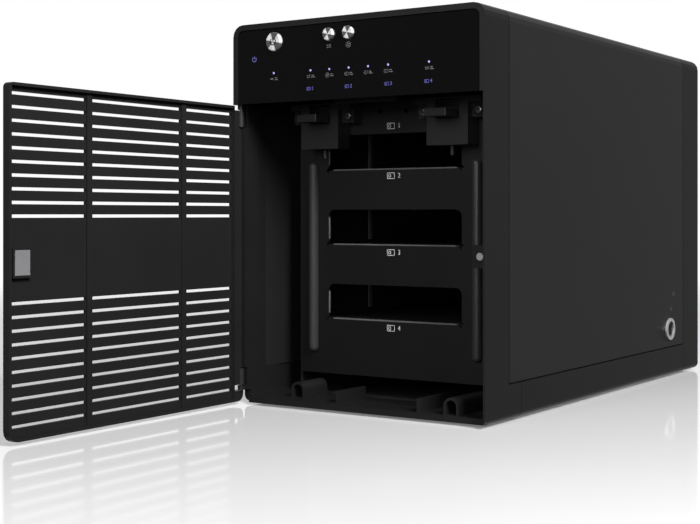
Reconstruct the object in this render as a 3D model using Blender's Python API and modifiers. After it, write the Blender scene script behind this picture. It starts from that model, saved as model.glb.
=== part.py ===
"""Four-bay drive enclosure: a modelled assembly of separate pieces.

Metres, +Z up. The front faces -Y. The origin is the centre of the housing's underside.
Depths are measured from the front plane towards the back.
The door stands open at a right angle, turned out on the left hinge.
"""
import math

import bmesh
import bpy
from mathutils import Matrix, Vector

# ---- driving sizes -------------------------------------------------------------------------------
BODY_W = 0.133
BODY_H = 0.172
BODY_D = 0.238
TOP_RADIUS = 0.0055        # upper long edges of the housing
BASE_RADIUS = 0.003        # lower long edges
BEZEL_DEPTH = 0.0197
SKIRT_DEPTH = 0.0307       # the bezel reaches further back below the cover
REAR_FRAME_DEPTH = 0.022
FRAME_WALL = 0.0026        # plastic wall of the bezel and the rear frame
COVER_WALL = 0.0016        # sheet of the wrap-round cover
TRAY_HEIGHT = 0.015
TRAY_WALL = 0.0018
TRAY_FLOOR = 0.0016
SEAM = 0.0006              # visible joint between housing parts
TOUCH = 0.0003             # gap kept between parts that rest on each other

FASCIA_BOTTOM = 0.136      # lower edge of the glossy control panel
FASCIA_THICK = 0.002
FASCIA_SET_BACK = 0.0004
BEZEL_FLOOR = 0.0028
SHELF_GAP = 0.0026         # the control compartment's floor above the panel's lower edge
LIP = 0.001                # thin right lip that shields the closed door's edge
TUNNELS = ((0.0472, 0.005, 0.0100), (-0.0395, 0.013, 0.0098))   # centre x, front depth, top
TUNNEL_HALF = 0.0037
TUNNEL_WALL = 0.0011
RIBS = ((0.0310, 0.0052, 0.0084), (-0.0142, 0.009, 0.0078))     # centre x, front depth, top
RIB_HALF = 0.0009
GUIDE_BACK = 0.0305        # where the tunnels and ribs end
TONGUE_BACK = 0.0285       # the bezel's floor runs on over the tray as a thin tongue
TONGUE_BOTTOM = 0.0019
TAB_LEFT, TAB_RIGHT = -0.016, 0.017
TAB_FRONT, TAB_BACK = 0.0088, 0.011
TAB_DROP = 0.0012          # how far the centre tab hangs below the control panel

DOOR_THICK = 0.0035
DOOR_SIDE_GAP = 0.0003
PIVOT_INSET = 0.0016       # hinge axis from the left side plane
PIVOT_DEPTH = 0.0036
KNUCKLE_RADIUS = 0.0016
KNUCKLE_LENGTH = 0.0075
HINGE_PIN_RADIUS = 0.0008
RUNNING_GAP = 0.0001
LUG_THICK = 0.002
SWING_GAP = 0.0004
NOTCH_MARGIN = 0.0026      # room in the door around each lug
OPEN_NOTCH = 0.002         # the upper notch runs out through the door's top edge
SLOT_HEIGHT = 0.00125
SLOT_ROWS = 10             # in each of the two groups
SLOT_PITCH = 0.00516
SLOT_TOP_MARGIN = 0.0038   # first row below the door's top edge
SLOT_BOTTOM_MARGIN = 0.0055
HINGE_STILE = 0.0042       # plain strip from the hinge axis to the first slots
FREE_STILE = 0.0025
RIB_CENTRES = (0.0356, 0.0895)   # the two upright ribs, from the hinge axis
RIB_WIDTH = 0.0027
RIB_PROUD = 0.0008
DOOR_PANEL = 0.0013        # the slotted panel inside the door's border
DOOR_BORDER = 0.0012
STRIKE_BOSS = 0.001        # border of full thickness round the strike plate
STRIKE_W = 0.007
STRIKE_H = 0.0096
STRIKE_THICK = 0.0008
CATCH_HEIGHT = 0.0685      # height of the magnet's centre

COVER_PLATE_DEPTH = 0.032  # the drive cover's front face behind the front plane
SHEET = 0.0012
SIDE_SLOT_H = 0.0036       # breathing slots in the cage's sides
SIDE_SLOT_L = 0.028
SIDE_SLOT_PITCH = 0.046
SIDE_SLOT_FIRST = 0.022
DRIVE_W = 0.1016
DRIVE_L = 0.147
DRIVE_SIDE_GAP = 0.0008
BAY_PITCH = 0.0344
BAY_COUNT = 4
BAY_FLOOR = 0.0031         # top face of the lowest shelf
CAGE_BACK_GAP = 0.002      # between the cage and the upright board
SHELF_BACK_GAP = 0.009     # the shelves stop short of the drive sockets
WINDOW_W = 0.0724
WINDOW_H = 0.0162
WINDOW_RADIUS = 0.003
NOTCH_RADIUS = 0.0012      # round reliefs at the windows' lower corners
COVER_HOLE_X, COVER_HOLE_Z, COVER_HOLE_RADIUS = 0.0071, 0.1327, 0.0012
COVER_BOTTOM = 0.012
COVER_TOP = 0.1375
ROD_RADIUS = 0.0023
ROD_X = 0.0443
ROD_BOTTOM = 0.0217
ROD_TOP = 0.1103

LATCH_X = 0.0344
LATCH_W = 0.021
LATCH_DEPTH = 0.009
LATCH_TOP = 0.1367
LATCH_H = 0.0208
WING_W = 0.034
WING_H = 0.0028
LUG_H = 0.0062
LUG_SET_BACK = 0.0035
SLIDER_W = 0.011
SLIDER_H = 0.0033
SLIDER_REACH = 0.010       # how far the thumb tab stands out
SLIDER_TRAVEL = 0.0045
LATCH_PIN_RADIUS = 0.0009
LATCH_PIN_SHOWING = 0.0044
LATCH_SCREW_RADIUS = 0.0009
LATCH_SCREW_X = 0.0142
POCKET_ROOF = 0.0008       # material left over the pocket
POCKET_BACK = 0.0015

POWER_X, POWER_Z, POWER_RADIUS = -0.0426, 0.1632, 0.0043
SYNC_X, SYNC_Z, SMALL_BUTTON_RADIUS = -0.0123, 0.1644, 0.0029
SPEED_X = -0.0018
BUTTON_PROUD = 0.0008
BUTTON_GAP = 0.0003
BUTTON_STEM = 0.0016
LED_Z = 0.1492
LED_RADIUS = 0.0005
LED_X = (-0.0431, -0.0224, -0.0121, -0.0017, 0.0085, 0.0189, 0.0394)
BOARD_THICK = 0.0016
BOARD_DEPTH = 0.0095       # the control board behind the panel
BUTTON_STEM_END = 0.0078
CONNECTOR_W = 0.042
CONNECTOR_H = 0.0075
CONNECTOR_REACH = 0.006
CONNECTOR_RISE = 0.0035    # above its bay's shelf
BOARD_SLOT_HALF = 0.041    # air slots in the upright board
BOARD_SLOT_RISE = 0.0165
BOARD_SLOT_H = 0.011
THROUGH = 0.001            # how far a cutter runs past what it cuts

FAN_SIZE = 0.080
FAN_DEPTH = 0.025
FAN_HOLE_SPACING = 0.0715
FAN_BORE = 0.0385
FAN_CENTRE_Z = 0.092
HUB_RADIUS = 0.016
BLADE_COUNT = 7
BLADE_CHORD = 0.019
BLADE_THICK = 0.0012
BLADE_ROOT = 0.003         # how deep a blade starts inside the hub
BLADE_PITCH = math.radians(38)
STRUT_HALF = 0.002
STRUT_THICK = 0.003
SEAT_THICK = 0.0034
GUARD_RINGS = (0.0115, 0.021, 0.0305, 0.0395)
GUARD_WIRE = 0.0016
GUARD_EYE_RADIUS = 0.0042
GUARD_EYE_THICK = 0.0018
FAN_TIP_GAP = 0.0012
SCREW_RADIUS = 0.0017
REAR_PANEL_SET_BACK = 0.004
PORT_HEIGHT = 0.0225       # top face of the main board
DC_X, DC_RADIUS = -0.030, 0.0042
DC_BORE = 0.0032
USB_X, USB_W, USB_H = 0.030, 0.0092, 0.0034
SOCKET_PROUD = 0.0006      # how far the sockets stand out of the rear panel
SECURITY_SLOT = ((0.0475, 0.150), (0.0545, 0.153))   # lower left and upper right, as (x, z)
FOOT_RADIUS = 0.006
FOOT_THICK = 0.0015
FOOT_WELL = 0.0006         # shallow recess that seats each foot
FOOT_WELL_MARGIN = 0.0004
FOOT_INSET = 0.016
FOOT_SETBACK = 0.0095      # from the bezel's skirt to a foot's centre
LOCK_DEPTH_FROM_FRONT = 0.1955
LOCK_Z = 0.0249
LOCK_RADIUS = 0.0047
LOCK_FLANGE = 0.0011

# ---- places worked out from the sizes ------------------------------------------------------------
HALF_W = BODY_W / 2
INNER_X = HALF_W - FRAME_WALL
COVER_FRONT = BEZEL_DEPTH + SEAM
COVER_BACK = BODY_D - REAR_FRAME_DEPTH - SEAM
TRAY_FRONT = SKIRT_DEPTH + TOUCH
TRAY_BACK = BODY_D - REAR_FRAME_DEPTH - TOUCH
DOOR_TOP = FASCIA_BOTTOM - 0.0005
DOOR_BOTTOM = 0.0003
PIVOT_X = -HALF_W + PIVOT_INSET
DOOR_LENGTH = HALF_W - LIP - DOOR_SIDE_GAP - PIVOT_X
PLATE_HALF = DRIVE_W / 2 + DRIVE_SIDE_GAP + SHEET / 2
CAGE_FRONT = COVER_PLATE_DEPTH + SHEET + 0.0008
CAGE_TOP = BAY_FLOOR + BAY_COUNT * BAY_PITCH
BACKPLANE_DEPTH = CAGE_FRONT + DRIVE_L + 0.0065
REAR_PANEL_DEPTH = BODY_D - REAR_PANEL_SET_BACK - SHEET
FAN_FRONT = REAR_PANEL_DEPTH - TOUCH - FAN_DEPTH
LATCH_FRONT = COVER_PLATE_DEPTH - TOUCH - LATCH_DEPTH
LATCH_BOTTOM = LATCH_TOP - LATCH_H
SLIDER_TOP = LATCH_TOP - POCKET_ROOF - SLIDER_TRAVEL - TOUCH
LATCH_PIN_DEPTH = LATCH_FRONT + 0.0045
SCREW_Z = LATCH_TOP - WING_H - LUG_H / 2
INLET_Z = PORT_HEIGHT + 0.0062
SOCKET_FACE = REAR_PANEL_DEPTH + SHEET + SOCKET_PROUD
WALL_FRONT = PIVOT_DEPTH + math.hypot(PIVOT_INSET, PIVOT_DEPTH) + SWING_GAP   # clears the door's swing

parts = None
tools = None


# ---- helpers -------------------------------------------------------------------------------------
def clear_scene():
    """Remove every object that is in the file at the start."""
    for item in list(bpy.data.objects):
        bpy.data.objects.remove(item, do_unlink=True)


def make_collection(name):
    """A new collection under the scene's own."""
    group = bpy.data.collections.new(name)
    bpy.context.scene.collection.children.link(group)
    return group


def material(name, colour, roughness, metallic=0.0):
    """A Principled material, made once for each name."""
    found = bpy.data.materials.get(name)
    if found:
        return found
    made = bpy.data.materials.new(name)
    made.use_nodes = True
    shader = made.node_tree.nodes["Principled BSDF"]
    shader.inputs["Base Color"].default_value = (*colour, 1.0)
    shader.inputs["Roughness"].default_value = roughness
    shader.inputs["Metallic"].default_value = metallic
    return made


def black_plastic():
    return material("black_plastic", (0.018, 0.018, 0.019), 0.5)


def painted_sheet():
    return material("painted_sheet", (0.02, 0.02, 0.021), 0.55, 0.3)


def gloss_panel():
    return material("gloss_panel", (0.004, 0.004, 0.005), 0.06)


def spun_metal():
    return material("spun_metal", (0.75, 0.75, 0.77), 0.25, 1.0)


def bright_steel():
    return material("bright_steel", (0.6, 0.6, 0.6), 0.35, 1.0)


def circuit_board():
    return material("circuit_board", (0.01, 0.05, 0.02), 0.45)


def clear_plastic():
    return material("clear_plastic", (0.8, 0.85, 1.0), 0.2)


def foot_rubber():
    return material("foot_rubber", (0.015, 0.015, 0.015), 0.85)


def finish(item, group, paint):
    """Put an object in its collection, with its material or as a hidden tool."""
    for owner in list(item.users_collection):
        owner.objects.unlink(item)
    group.objects.link(item)
    if paint is None:
        item.hide_render = True
        item.display_type = 'WIRE'
    else:
        item.data.materials.clear()
        item.data.materials.append(paint)
    return item


def mesh_object(name, mesh_data, group, paint):
    """An object around a finished bmesh."""
    mesh = bpy.data.meshes.new(name)
    mesh_data.to_mesh(mesh)
    mesh_data.free()
    item = bpy.data.objects.new(name, mesh)
    return finish(item, group, paint)


def world(x, depth, z):
    """A point from its side place, its depth behind the front plane and its height."""
    return Vector((x, depth - BODY_D / 2, z))


def add_box(mesh_data, low, high):
    """One cube in a bmesh, between two corners given as (x, depth, z)."""
    a = world(*low)
    b = world(*high)
    size = Matrix.Diagonal((*(b - a), 1.0))
    place = Matrix.Translation((a + b) / 2)
    return bmesh.ops.create_cube(mesh_data, size=1.0, matrix=place @ size)["verts"]


def edges_along(verts, axis):
    """The edges of a fresh box that run along one axis."""
    found = set()
    for vert in verts:
        for edge in vert.link_edges:
            step = (edge.verts[0].co - edge.verts[1].co).normalized()
            if abs(step[axis]) > 0.99:
                found.add(edge)
    return found


def box(name, low, high, paint, rounding=0.0, axis=1, segments=4):
    """A block whose edges along one axis are rounded."""
    mesh_data = bmesh.new()
    verts = add_box(mesh_data, low, high)
    if rounding:
        bmesh.ops.bevel(mesh_data, geom=list(edges_along(verts, axis)), offset=rounding,
                        segments=segments, profile=0.5, affect='EDGES', material=-1)
    return mesh_object(name, mesh_data, tools if paint is None else parts, paint)


def blocks(name, corners, paint=None):
    """Several separate blocks in one object, used as a cutting or joining tool."""
    mesh_data = bmesh.new()
    for low, high in corners:
        add_box(mesh_data, low, high)
    return mesh_object(name, mesh_data, tools if paint is None else parts, paint)


def cylinder(name, centre, axis, radius, length, paint, segments=32, rounding=0.0):
    """A round bar centred on a point (x, depth, z), lying along axis 0, 1 or 2."""
    mesh_data = bmesh.new()
    bmesh.ops.create_cone(mesh_data, cap_ends=True, segments=segments, radius1=radius,
                          radius2=radius, depth=length)
    if rounding:
        rims = [e for e in mesh_data.edges if abs(e.verts[0].co.z - e.verts[1].co.z) < 1e-7]
        bmesh.ops.bevel(mesh_data, geom=rims, offset=rounding, segments=2, profile=0.5,
                        affect='EDGES', material=-1)
    turn = (Matrix.Rotation(math.pi / 2, 4, 'Y'), Matrix.Rotation(math.pi / 2, 4, 'X'), Matrix())
    bmesh.ops.transform(mesh_data, matrix=Matrix.Translation(world(*centre)) @ turn[axis],
                        verts=mesh_data.verts)
    item = mesh_object(name, mesh_data, tools if paint is None else parts, paint)
    item.data.shade_smooth()
    item.data.set_sharp_from_angle(angle=math.radians(40))
    return item


def cylinders(name, bars):
    """Several round bars in one tool: each is (centre, axis, radius, length)."""
    mesh_data = bmesh.new()
    turn = (Matrix.Rotation(math.pi / 2, 4, 'Y'), Matrix.Rotation(math.pi / 2, 4, 'X'), Matrix())
    for centre, axis, radius, length in bars:
        segments = 32 if radius > 0.02 else 16 if radius > 0.003 else 10
        bmesh.ops.create_cone(mesh_data, cap_ends=True, segments=segments, radius1=radius,
                              radius2=radius, depth=length,
                              matrix=Matrix.Translation(world(*centre)) @ turn[axis])
    return mesh_object(name, mesh_data, tools, None)


def corner_arc(centre, radius, start, steps=4):
    """Points of a quarter circle about a centre, from a start angle in degrees."""
    points = []
    for step in range(steps + 1):
        angle = math.radians(start + 90 * step / steps)
        points.append((centre[0] + radius * math.cos(angle), centre[1] + radius * math.sin(angle)))
    return points


def rounded_outline(left, bottom, right, top, radii):
    """A rectangle's outline with its own radius at each corner: lower right, then anticlockwise."""
    corners = ((right, bottom, -1, 1, -90), (right, top, -1, -1, 0),
               (left, top, 1, -1, 90), (left, bottom, 1, 1, 180))
    points = []
    for (x, y, side, rise, start), radius in zip(corners, radii):
        points += corner_arc((x + side * radius, y + rise * radius), radius, start)
    return points


def outline_piece(name, points, thickness, matrix, paint):
    """A flat outline given thickness, made as a mesh so that it can be cut and joined."""
    curve = bpy.data.curves.new(name + "_outline", 'CURVE')
    curve.dimensions = '2D'
    curve.fill_mode = 'BOTH'
    curve.extrude = thickness / 2
    line = curve.splines.new('POLY')
    line.points.add(len(points) - 1)
    for knot, (a, b) in zip(line.points, points):
        knot.co = (a, b, 0.0, 1.0)
    line.use_cyclic_u = True
    drawn = bpy.data.objects.new(name + "_drawn", curve)
    bpy.context.scene.collection.objects.link(drawn)
    drawn.matrix_world = matrix
    bpy.context.view_layer.update()
    graph = bpy.context.evaluated_depsgraph_get()
    mesh = bpy.data.meshes.new_from_object(drawn.evaluated_get(graph))
    mesh_data = bmesh.new()
    mesh_data.from_mesh(mesh)
    bmesh.ops.remove_doubles(mesh_data, verts=mesh_data.verts, dist=1e-6)
    bmesh.ops.recalc_face_normals(mesh_data, faces=mesh_data.faces)
    item = mesh_object(name, mesh_data, tools if paint is None else parts, paint)
    item.matrix_world = matrix
    bpy.data.meshes.remove(mesh)
    bpy.data.objects.remove(drawn)
    return item


def front_matrix(depth):
    """Places an outline drawn as (x, z) on a plane across the housing at a depth."""
    return Matrix.Translation(world(0, depth, 0)) @ Matrix.Rotation(math.pi / 2, 4, 'X')


def turned(name, profile, matrix, paint, steps=32):
    """A turned shape: a profile of (radius, height) from its top to its bottom."""
    mesh_data = bmesh.new()
    verts = [mesh_data.verts.new((radius, 0.0, height)) for radius, height in profile]
    for first, second in zip(verts, verts[1:]):
        mesh_data.edges.new((first, second))
    item = mesh_object(name, mesh_data, tools if paint is None else parts, paint)
    screw = item.modifiers.new("turn", 'SCREW')
    screw.axis = 'Z'
    screw.angle = math.tau
    screw.steps = steps
    screw.render_steps = steps
    screw.use_merge_vertices = True
    screw.merge_threshold = 0.00001
    screw.use_smooth_shade = True
    item.matrix_world = matrix
    return item


def boolean(item, tool, operation):
    """Cut or join with a tool object, by a live modifier."""
    change = item.modifiers.new(operation.lower(), 'BOOLEAN')
    change.operation = operation
    change.solver = 'EXACT'
    change.object = tool
    return item


def cut(item, tool):
    return boolean(item, tool, 'DIFFERENCE')


def join(item, tool):
    return boolean(item, tool, 'UNION')


def to_front(x, depth, z):
    """Turns a shape's own +Z to face the front, -Y."""
    return Matrix.Translation(world(x, depth, z)) @ Matrix.Rotation(math.pi / 2, 4, 'X')


def to_back(x, depth, z):
    """Turns a shape's own +Z to face the back, +Y."""
    return Matrix.Translation(world(x, depth, z)) @ Matrix.Rotation(-math.pi / 2, 4, 'X')


def housing_outline(margin):
    """The housing's section, drawn in by a margin."""
    low = max(BASE_RADIUS - margin, 0.0004)
    high = max(TOP_RADIUS - margin, 0.0004)
    return rounded_outline(-HALF_W + margin, margin, HALF_W - margin, BODY_H - margin,
                           (low, high, high, low))


def corner_places(x, low, high):
    """The four corners of a pattern, as pairs."""
    return [(-x, low), (x, low), (-x, high), (x, high)]


# ---- housing -------------------------------------------------------------------------------------
def housing_ring(name, front, back):
    """A closed frame with the housing's section, open through its middle."""
    ring = outline_piece(name, housing_outline(0.0), back - front,
                         front_matrix((front + back) / 2), black_plastic())
    hole = outline_piece(name + "_hole", housing_outline(FRAME_WALL), back - front + 0.002,
                         front_matrix((front + back) / 2), None)
    return cut(ring, hole)


def arch_points(centre_x, base, half, top):
    """A doorway outline: straight sides under a half-round top."""
    points = [(centre_x - half, base), (centre_x + half, base)]
    spring = top - half
    for step in range(9):
        angle = math.pi * step / 8
        points.append((centre_x + half * math.cos(angle), spring + half * math.sin(angle)))
    return points


def floor_guides(bezel):
    """Two arched tunnels and two ribs that stand on the bezel's floor and run back."""
    tongue = blocks("bezel_tongue", [((-0.052, BEZEL_DEPTH - 0.003, TONGUE_BOTTOM),
                                      (0.056, TONGUE_BACK, BEZEL_FLOOR))])
    join(bezel, tongue)
    for number, (x, front, top) in enumerate(TUNNELS):
        middle = front_matrix((front + GUIDE_BACK) / 2)
        outer = arch_points(x, TONGUE_BOTTOM + 0.0001, TUNNEL_HALF, top)
        inner = arch_points(x, BEZEL_FLOOR, TUNNEL_HALF - TUNNEL_WALL, top - TUNNEL_WALL)
        join(bezel, outline_piece("tunnel_%d" % number, outer, GUIDE_BACK - front, middle, None))
        cut(bezel, outline_piece("tunnel_bore_%d" % number, inner, GUIDE_BACK - front + 0.002,
                                 middle, None))
    corners = []
    for x, front, top in RIBS:
        corners.append(((x - RIB_HALF, front, TONGUE_BOTTOM + 0.0002),
                        (x + RIB_HALF, GUIDE_BACK - 0.001, top)))
    join(bezel, blocks("floor_ribs", corners))


def lug_heights():
    """Lowest and highest face of the upper and the lower hinge lug."""
    upper = DOOR_TOP - LUG_THICK + 0.0004
    return ((upper, upper + LUG_THICK), (0.0055, 0.0055 + LUG_THICK))


def hinge_lugs(bezel):
    """Two lugs on the left wall that carry the door's pins, and the rail behind them."""
    rail = ((-INNER_X - 0.0005, WALL_FRONT, BEZEL_FLOOR - 0.0005), (-INNER_X + 0.001, 0.0134, 0.134))
    join(bezel, blocks("hinge_rail", [rail]))
    behind = PIVOT_DEPTH + PIVOT_INSET + SWING_GAP
    join(bezel, blocks("hinge_wall", [((-HALF_W, behind, lug_heights()[1][0]),
                                       (-INNER_X + 0.001, WALL_FRONT + 0.0005, lug_heights()[0][1]))]))
    low = lug_heights()[1][1] + 2 * SWING_GAP + KNUCKLE_LENGTH
    high = lug_heights()[0][0] - 2 * SWING_GAP - KNUCKLE_LENGTH
    join(bezel, blocks("hinge_fence", [((PIVOT_X + 0.0002, PIVOT_DEPTH + 0.0005, low),
                                        (-INNER_X + 0.001, behind + 0.0005, high))]))
    for number, (low, high) in enumerate(lug_heights()):
        arm = blocks("lug_arm_%d" % number, [((-HALF_W + 0.0002, PIVOT_DEPTH, low),
                                             (PIVOT_X + KNUCKLE_RADIUS, WALL_FRONT + 0.003, high))])
        join(bezel, arm)
        join(bezel, cylinder("lug_eye_%d" % number, (PIVOT_X, PIVOT_DEPTH, (low + high) / 2), 2,
                             KNUCKLE_RADIUS, high - low, None, 24))
    holes = [((PIVOT_X, PIVOT_DEPTH, (low + high) / 2), 2, HINGE_PIN_RADIUS + RUNNING_GAP / 2, 0.006)
             for low, high in lug_heights()]
    cut(bezel, cylinders("lug_holes", holes))


def bezel_skirt(bezel):
    """The lower band of the bezel, which runs on back under the cover to meet the tray."""
    front = BEZEL_DEPTH - THROUGH
    middle = front_matrix((front + SKIRT_DEPTH) / 2)
    skirt = outline_piece("skirt", housing_outline(0.0), SKIRT_DEPTH - front, middle, None)
    cut(skirt, outline_piece("skirt_hollow", housing_outline(FRAME_WALL), SKIRT_DEPTH - front + 0.002,
                             middle, None))
    cut(skirt, blocks("skirt_top", [((-HALF_W - 0.01, 0.0, TRAY_HEIGHT), (HALF_W + 0.01, BODY_D, 1.0))]))
    join(bezel, skirt)


def build_front_bezel():
    """The moulded front ring: control compartment above, door opening below."""
    bezel = housing_ring("front_bezel", 0.0, BEZEL_DEPTH)
    shelf_low = FASCIA_BOTTOM + SHELF_GAP
    shelf = blocks("compartment_floor", [((-INNER_X - 0.0005, 0.0045, shelf_low),
                                          (INNER_X + 0.0005, BEZEL_DEPTH, shelf_low + 0.0012))])
    tab = box("centre_tab", (TAB_LEFT, TAB_FRONT, FASCIA_BOTTOM - TAB_DROP),
              (TAB_RIGHT, TAB_BACK, shelf_low + 0.0006), None, 0.0008, 1, 2)
    cut(bezel, blocks("door_rebate_front", [((-HALF_W - 0.01, -0.01, -0.01),
                                             (HALF_W - LIP, DOOR_THICK + 0.0005, DOOR_TOP + 0.0004))]))
    cut(bezel, blocks("door_rebate_side", [((-HALF_W - 0.01, DOOR_THICK, -0.01),
                                            (PIVOT_X + 0.0042, WALL_FRONT, DOOR_TOP + 0.0004))]))
    join(bezel, shelf)
    join(bezel, tab)
    bezel_skirt(bezel)
    hinge_lugs(bezel)
    floor_guides(bezel)
    return bezel


def foot_places():
    """Centre of each foot, as (x, depth)."""
    inset = SKIRT_DEPTH + FOOT_SETBACK
    return corner_places(HALF_W - FOOT_INSET, inset, BODY_D - inset)


def build_base_tray():
    """The shallow lower tray between the bezel and the rear frame, with a well for each foot."""
    outline = [(x, z) for x, z in housing_outline(0.0) if z < BODY_H / 2]
    lower_right = [p for p in outline if p[0] > 0]
    lower_left = [p for p in outline if p[0] < 0]
    points = lower_left + lower_right
    points += [(HALF_W, TRAY_HEIGHT), (-HALF_W, TRAY_HEIGHT)]
    tray = outline_piece("base_tray", points, TRAY_BACK - TRAY_FRONT,
                         front_matrix((TRAY_FRONT + TRAY_BACK) / 2), black_plastic())
    hollow = box("tray_hollow", (-HALF_W + TRAY_WALL, TRAY_FRONT - THROUGH, TRAY_FLOOR),
                 (HALF_W - TRAY_WALL, TRAY_BACK + THROUGH, TRAY_HEIGHT + 0.01), None, 0.0012)
    cut(tray, hollow)
    wells = [((x, depth, 0.0), 2, FOOT_RADIUS + FOOT_WELL_MARGIN, 2 * FOOT_WELL)
             for x, depth in foot_places()]
    return cut(tray, cylinders("foot_wells", wells))


def build_cover():
    """The sheet cover that wraps over both sides and the top."""
    middle = (COVER_FRONT + COVER_BACK) / 2
    length = COVER_BACK - COVER_FRONT
    cover = outline_piece("wrap_cover", housing_outline(0.0), length, front_matrix(middle),
                          painted_sheet())
    cut(cover, outline_piece("cover_hollow", housing_outline(COVER_WALL), length + 0.002,
                             front_matrix(middle), None))
    cut(cover, blocks("cover_below", [((-HALF_W - 0.01, 0.0, -0.01),
                                       (HALF_W + 0.01, BODY_D, TRAY_HEIGHT + SEAM))]))
    return cut(cover, cylinders("lock_hole", [((HALF_W, LOCK_DEPTH_FROM_FRONT, LOCK_Z), 0,
                                               LOCK_RADIUS + 0.0002, 0.01)]))


REAR_SCREWS = corner_places(HALF_W - 0.0075, 0.0085, BODY_H - 0.0085)
FAN_SCREWS = corner_places(FAN_HOLE_SPACING / 2, FAN_CENTRE_Z - FAN_HOLE_SPACING / 2,
                           FAN_CENTRE_Z + FAN_HOLE_SPACING / 2)

def build_rear_frame():
    """The moulded rear ring, with corner blocks for the panel's screws."""
    front = BODY_D - REAR_FRAME_DEPTH
    frame = housing_ring("rear_frame", front, BODY_D)
    corners = []
    for x, z in REAR_SCREWS:
        side = math.copysign(1, x)
        rise = 1 if z > BODY_H / 2 else -1
        wide = sorted((x - side * 0.0038, side * (INNER_X + 0.0006)))
        tall = sorted((z - rise * 0.0038, BODY_H - 0.002 if rise > 0 else 0.002))
        corners.append(((wide[0], front + 0.004, tall[0]),
                        (wide[1], REAR_PANEL_DEPTH - TOUCH, tall[1])))
    join(frame, blocks("corner_blocks", corners))
    holes = [((x, REAR_PANEL_DEPTH, z), 1, 0.0013, 0.018) for x, z in REAR_SCREWS]
    return cut(frame, cylinders("corner_holes", holes))


def build_rear_panel():
    """The steel back plate with its fan opening and sockets."""
    margin = FRAME_WALL + TOUCH
    panel = outline_piece("rear_panel", housing_outline(margin), SHEET,
                          front_matrix(REAR_PANEL_DEPTH + SHEET / 2), painted_sheet())
    bars = [((0.0, REAR_PANEL_DEPTH, FAN_CENTRE_Z), 1, FAN_BORE, 0.01)]
    bars += [((x, REAR_PANEL_DEPTH, z), 1, SCREW_RADIUS + 0.0003, 0.01) for x, z in FAN_SCREWS]
    bars += [((x, REAR_PANEL_DEPTH, z), 1, 0.0014, 0.01) for x, z in REAR_SCREWS]
    bars += [((DC_X, REAR_PANEL_DEPTH, INLET_Z), 1, DC_RADIUS + TOUCH, 0.01)]
    cut(panel, cylinders("panel_holes", bars))
    slots = [((USB_X - USB_W / 2 - TOUCH, REAR_PANEL_DEPTH - 0.002, PORT_HEIGHT + TOUCH / 2),
              (USB_X + USB_W / 2 + TOUCH, REAR_PANEL_DEPTH + 0.004, PORT_HEIGHT + USB_H + TOUCH * 2)),
             ((SECURITY_SLOT[0][0], REAR_PANEL_DEPTH - 0.002, SECURITY_SLOT[0][1]),
              (SECURITY_SLOT[1][0], REAR_PANEL_DEPTH + 0.004, SECURITY_SLOT[1][1]))]
    return cut(panel, blocks("panel_slots", slots))


def screw(name, x, depth, z, head_radius, head_height, shank_radius, length, back=False, steps=12):
    """A round-headed screw; the head's underside is at the given depth."""
    place = to_back(x, depth, z) if back else to_front(x, depth, z)
    profile = [(0.0, head_height), (head_radius * 0.7, head_height * 0.85),
               (head_radius, head_height * 0.3), (head_radius, 0.0), (shank_radius, 0.0),
               (shank_radius, -length), (0.0, -length)]
    return turned(name, profile, place, bright_steel(), steps)


def build_rear_screws():
    for number, (x, z) in enumerate(REAR_SCREWS, 1):
        screw("panel_screw_%d" % number, x, REAR_PANEL_DEPTH + SHEET + TOUCH, z,
              0.0026, 0.0014, 0.0011, 0.008, back=True)


# ---- cooling fan ---------------------------------------------------------------------------------
def build_fan_frame():
    """A square fan housing: round throat, four screw holes and a motor seat on struts."""
    half = FAN_SIZE / 2
    frame = box("fan_frame", (-half, FAN_FRONT, FAN_CENTRE_Z - half),
                (half, FAN_FRONT + FAN_DEPTH, FAN_CENTRE_Z + half), black_plastic(), 0.004)
    middle = FAN_FRONT + FAN_DEPTH / 2
    bars = [((0.0, middle, FAN_CENTRE_Z), 1, FAN_BORE, FAN_DEPTH + 0.002)]
    bars += [((x, middle, z), 1, SCREW_RADIUS + 0.0003, FAN_DEPTH + 0.002) for x, z in FAN_SCREWS]
    cut(frame, cylinders("fan_bore", bars))
    reach = half - 0.001
    join(frame, blocks("fan_strut_flat", [((-reach, FAN_FRONT, FAN_CENTRE_Z - STRUT_HALF),
                                           (reach, FAN_FRONT + STRUT_THICK, FAN_CENTRE_Z + STRUT_HALF))]))
    upright = ((-STRUT_HALF, FAN_FRONT, FAN_CENTRE_Z - reach),
               (STRUT_HALF, FAN_FRONT + STRUT_THICK, FAN_CENTRE_Z + reach))
    join(frame, blocks("fan_strut_upright", [upright]))
    join(frame, cylinder("motor_seat", (0.0, FAN_FRONT + SEAT_THICK / 2, FAN_CENTRE_Z), 1,
                         HUB_RADIUS - 0.001, SEAT_THICK, None))
    return frame


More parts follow.
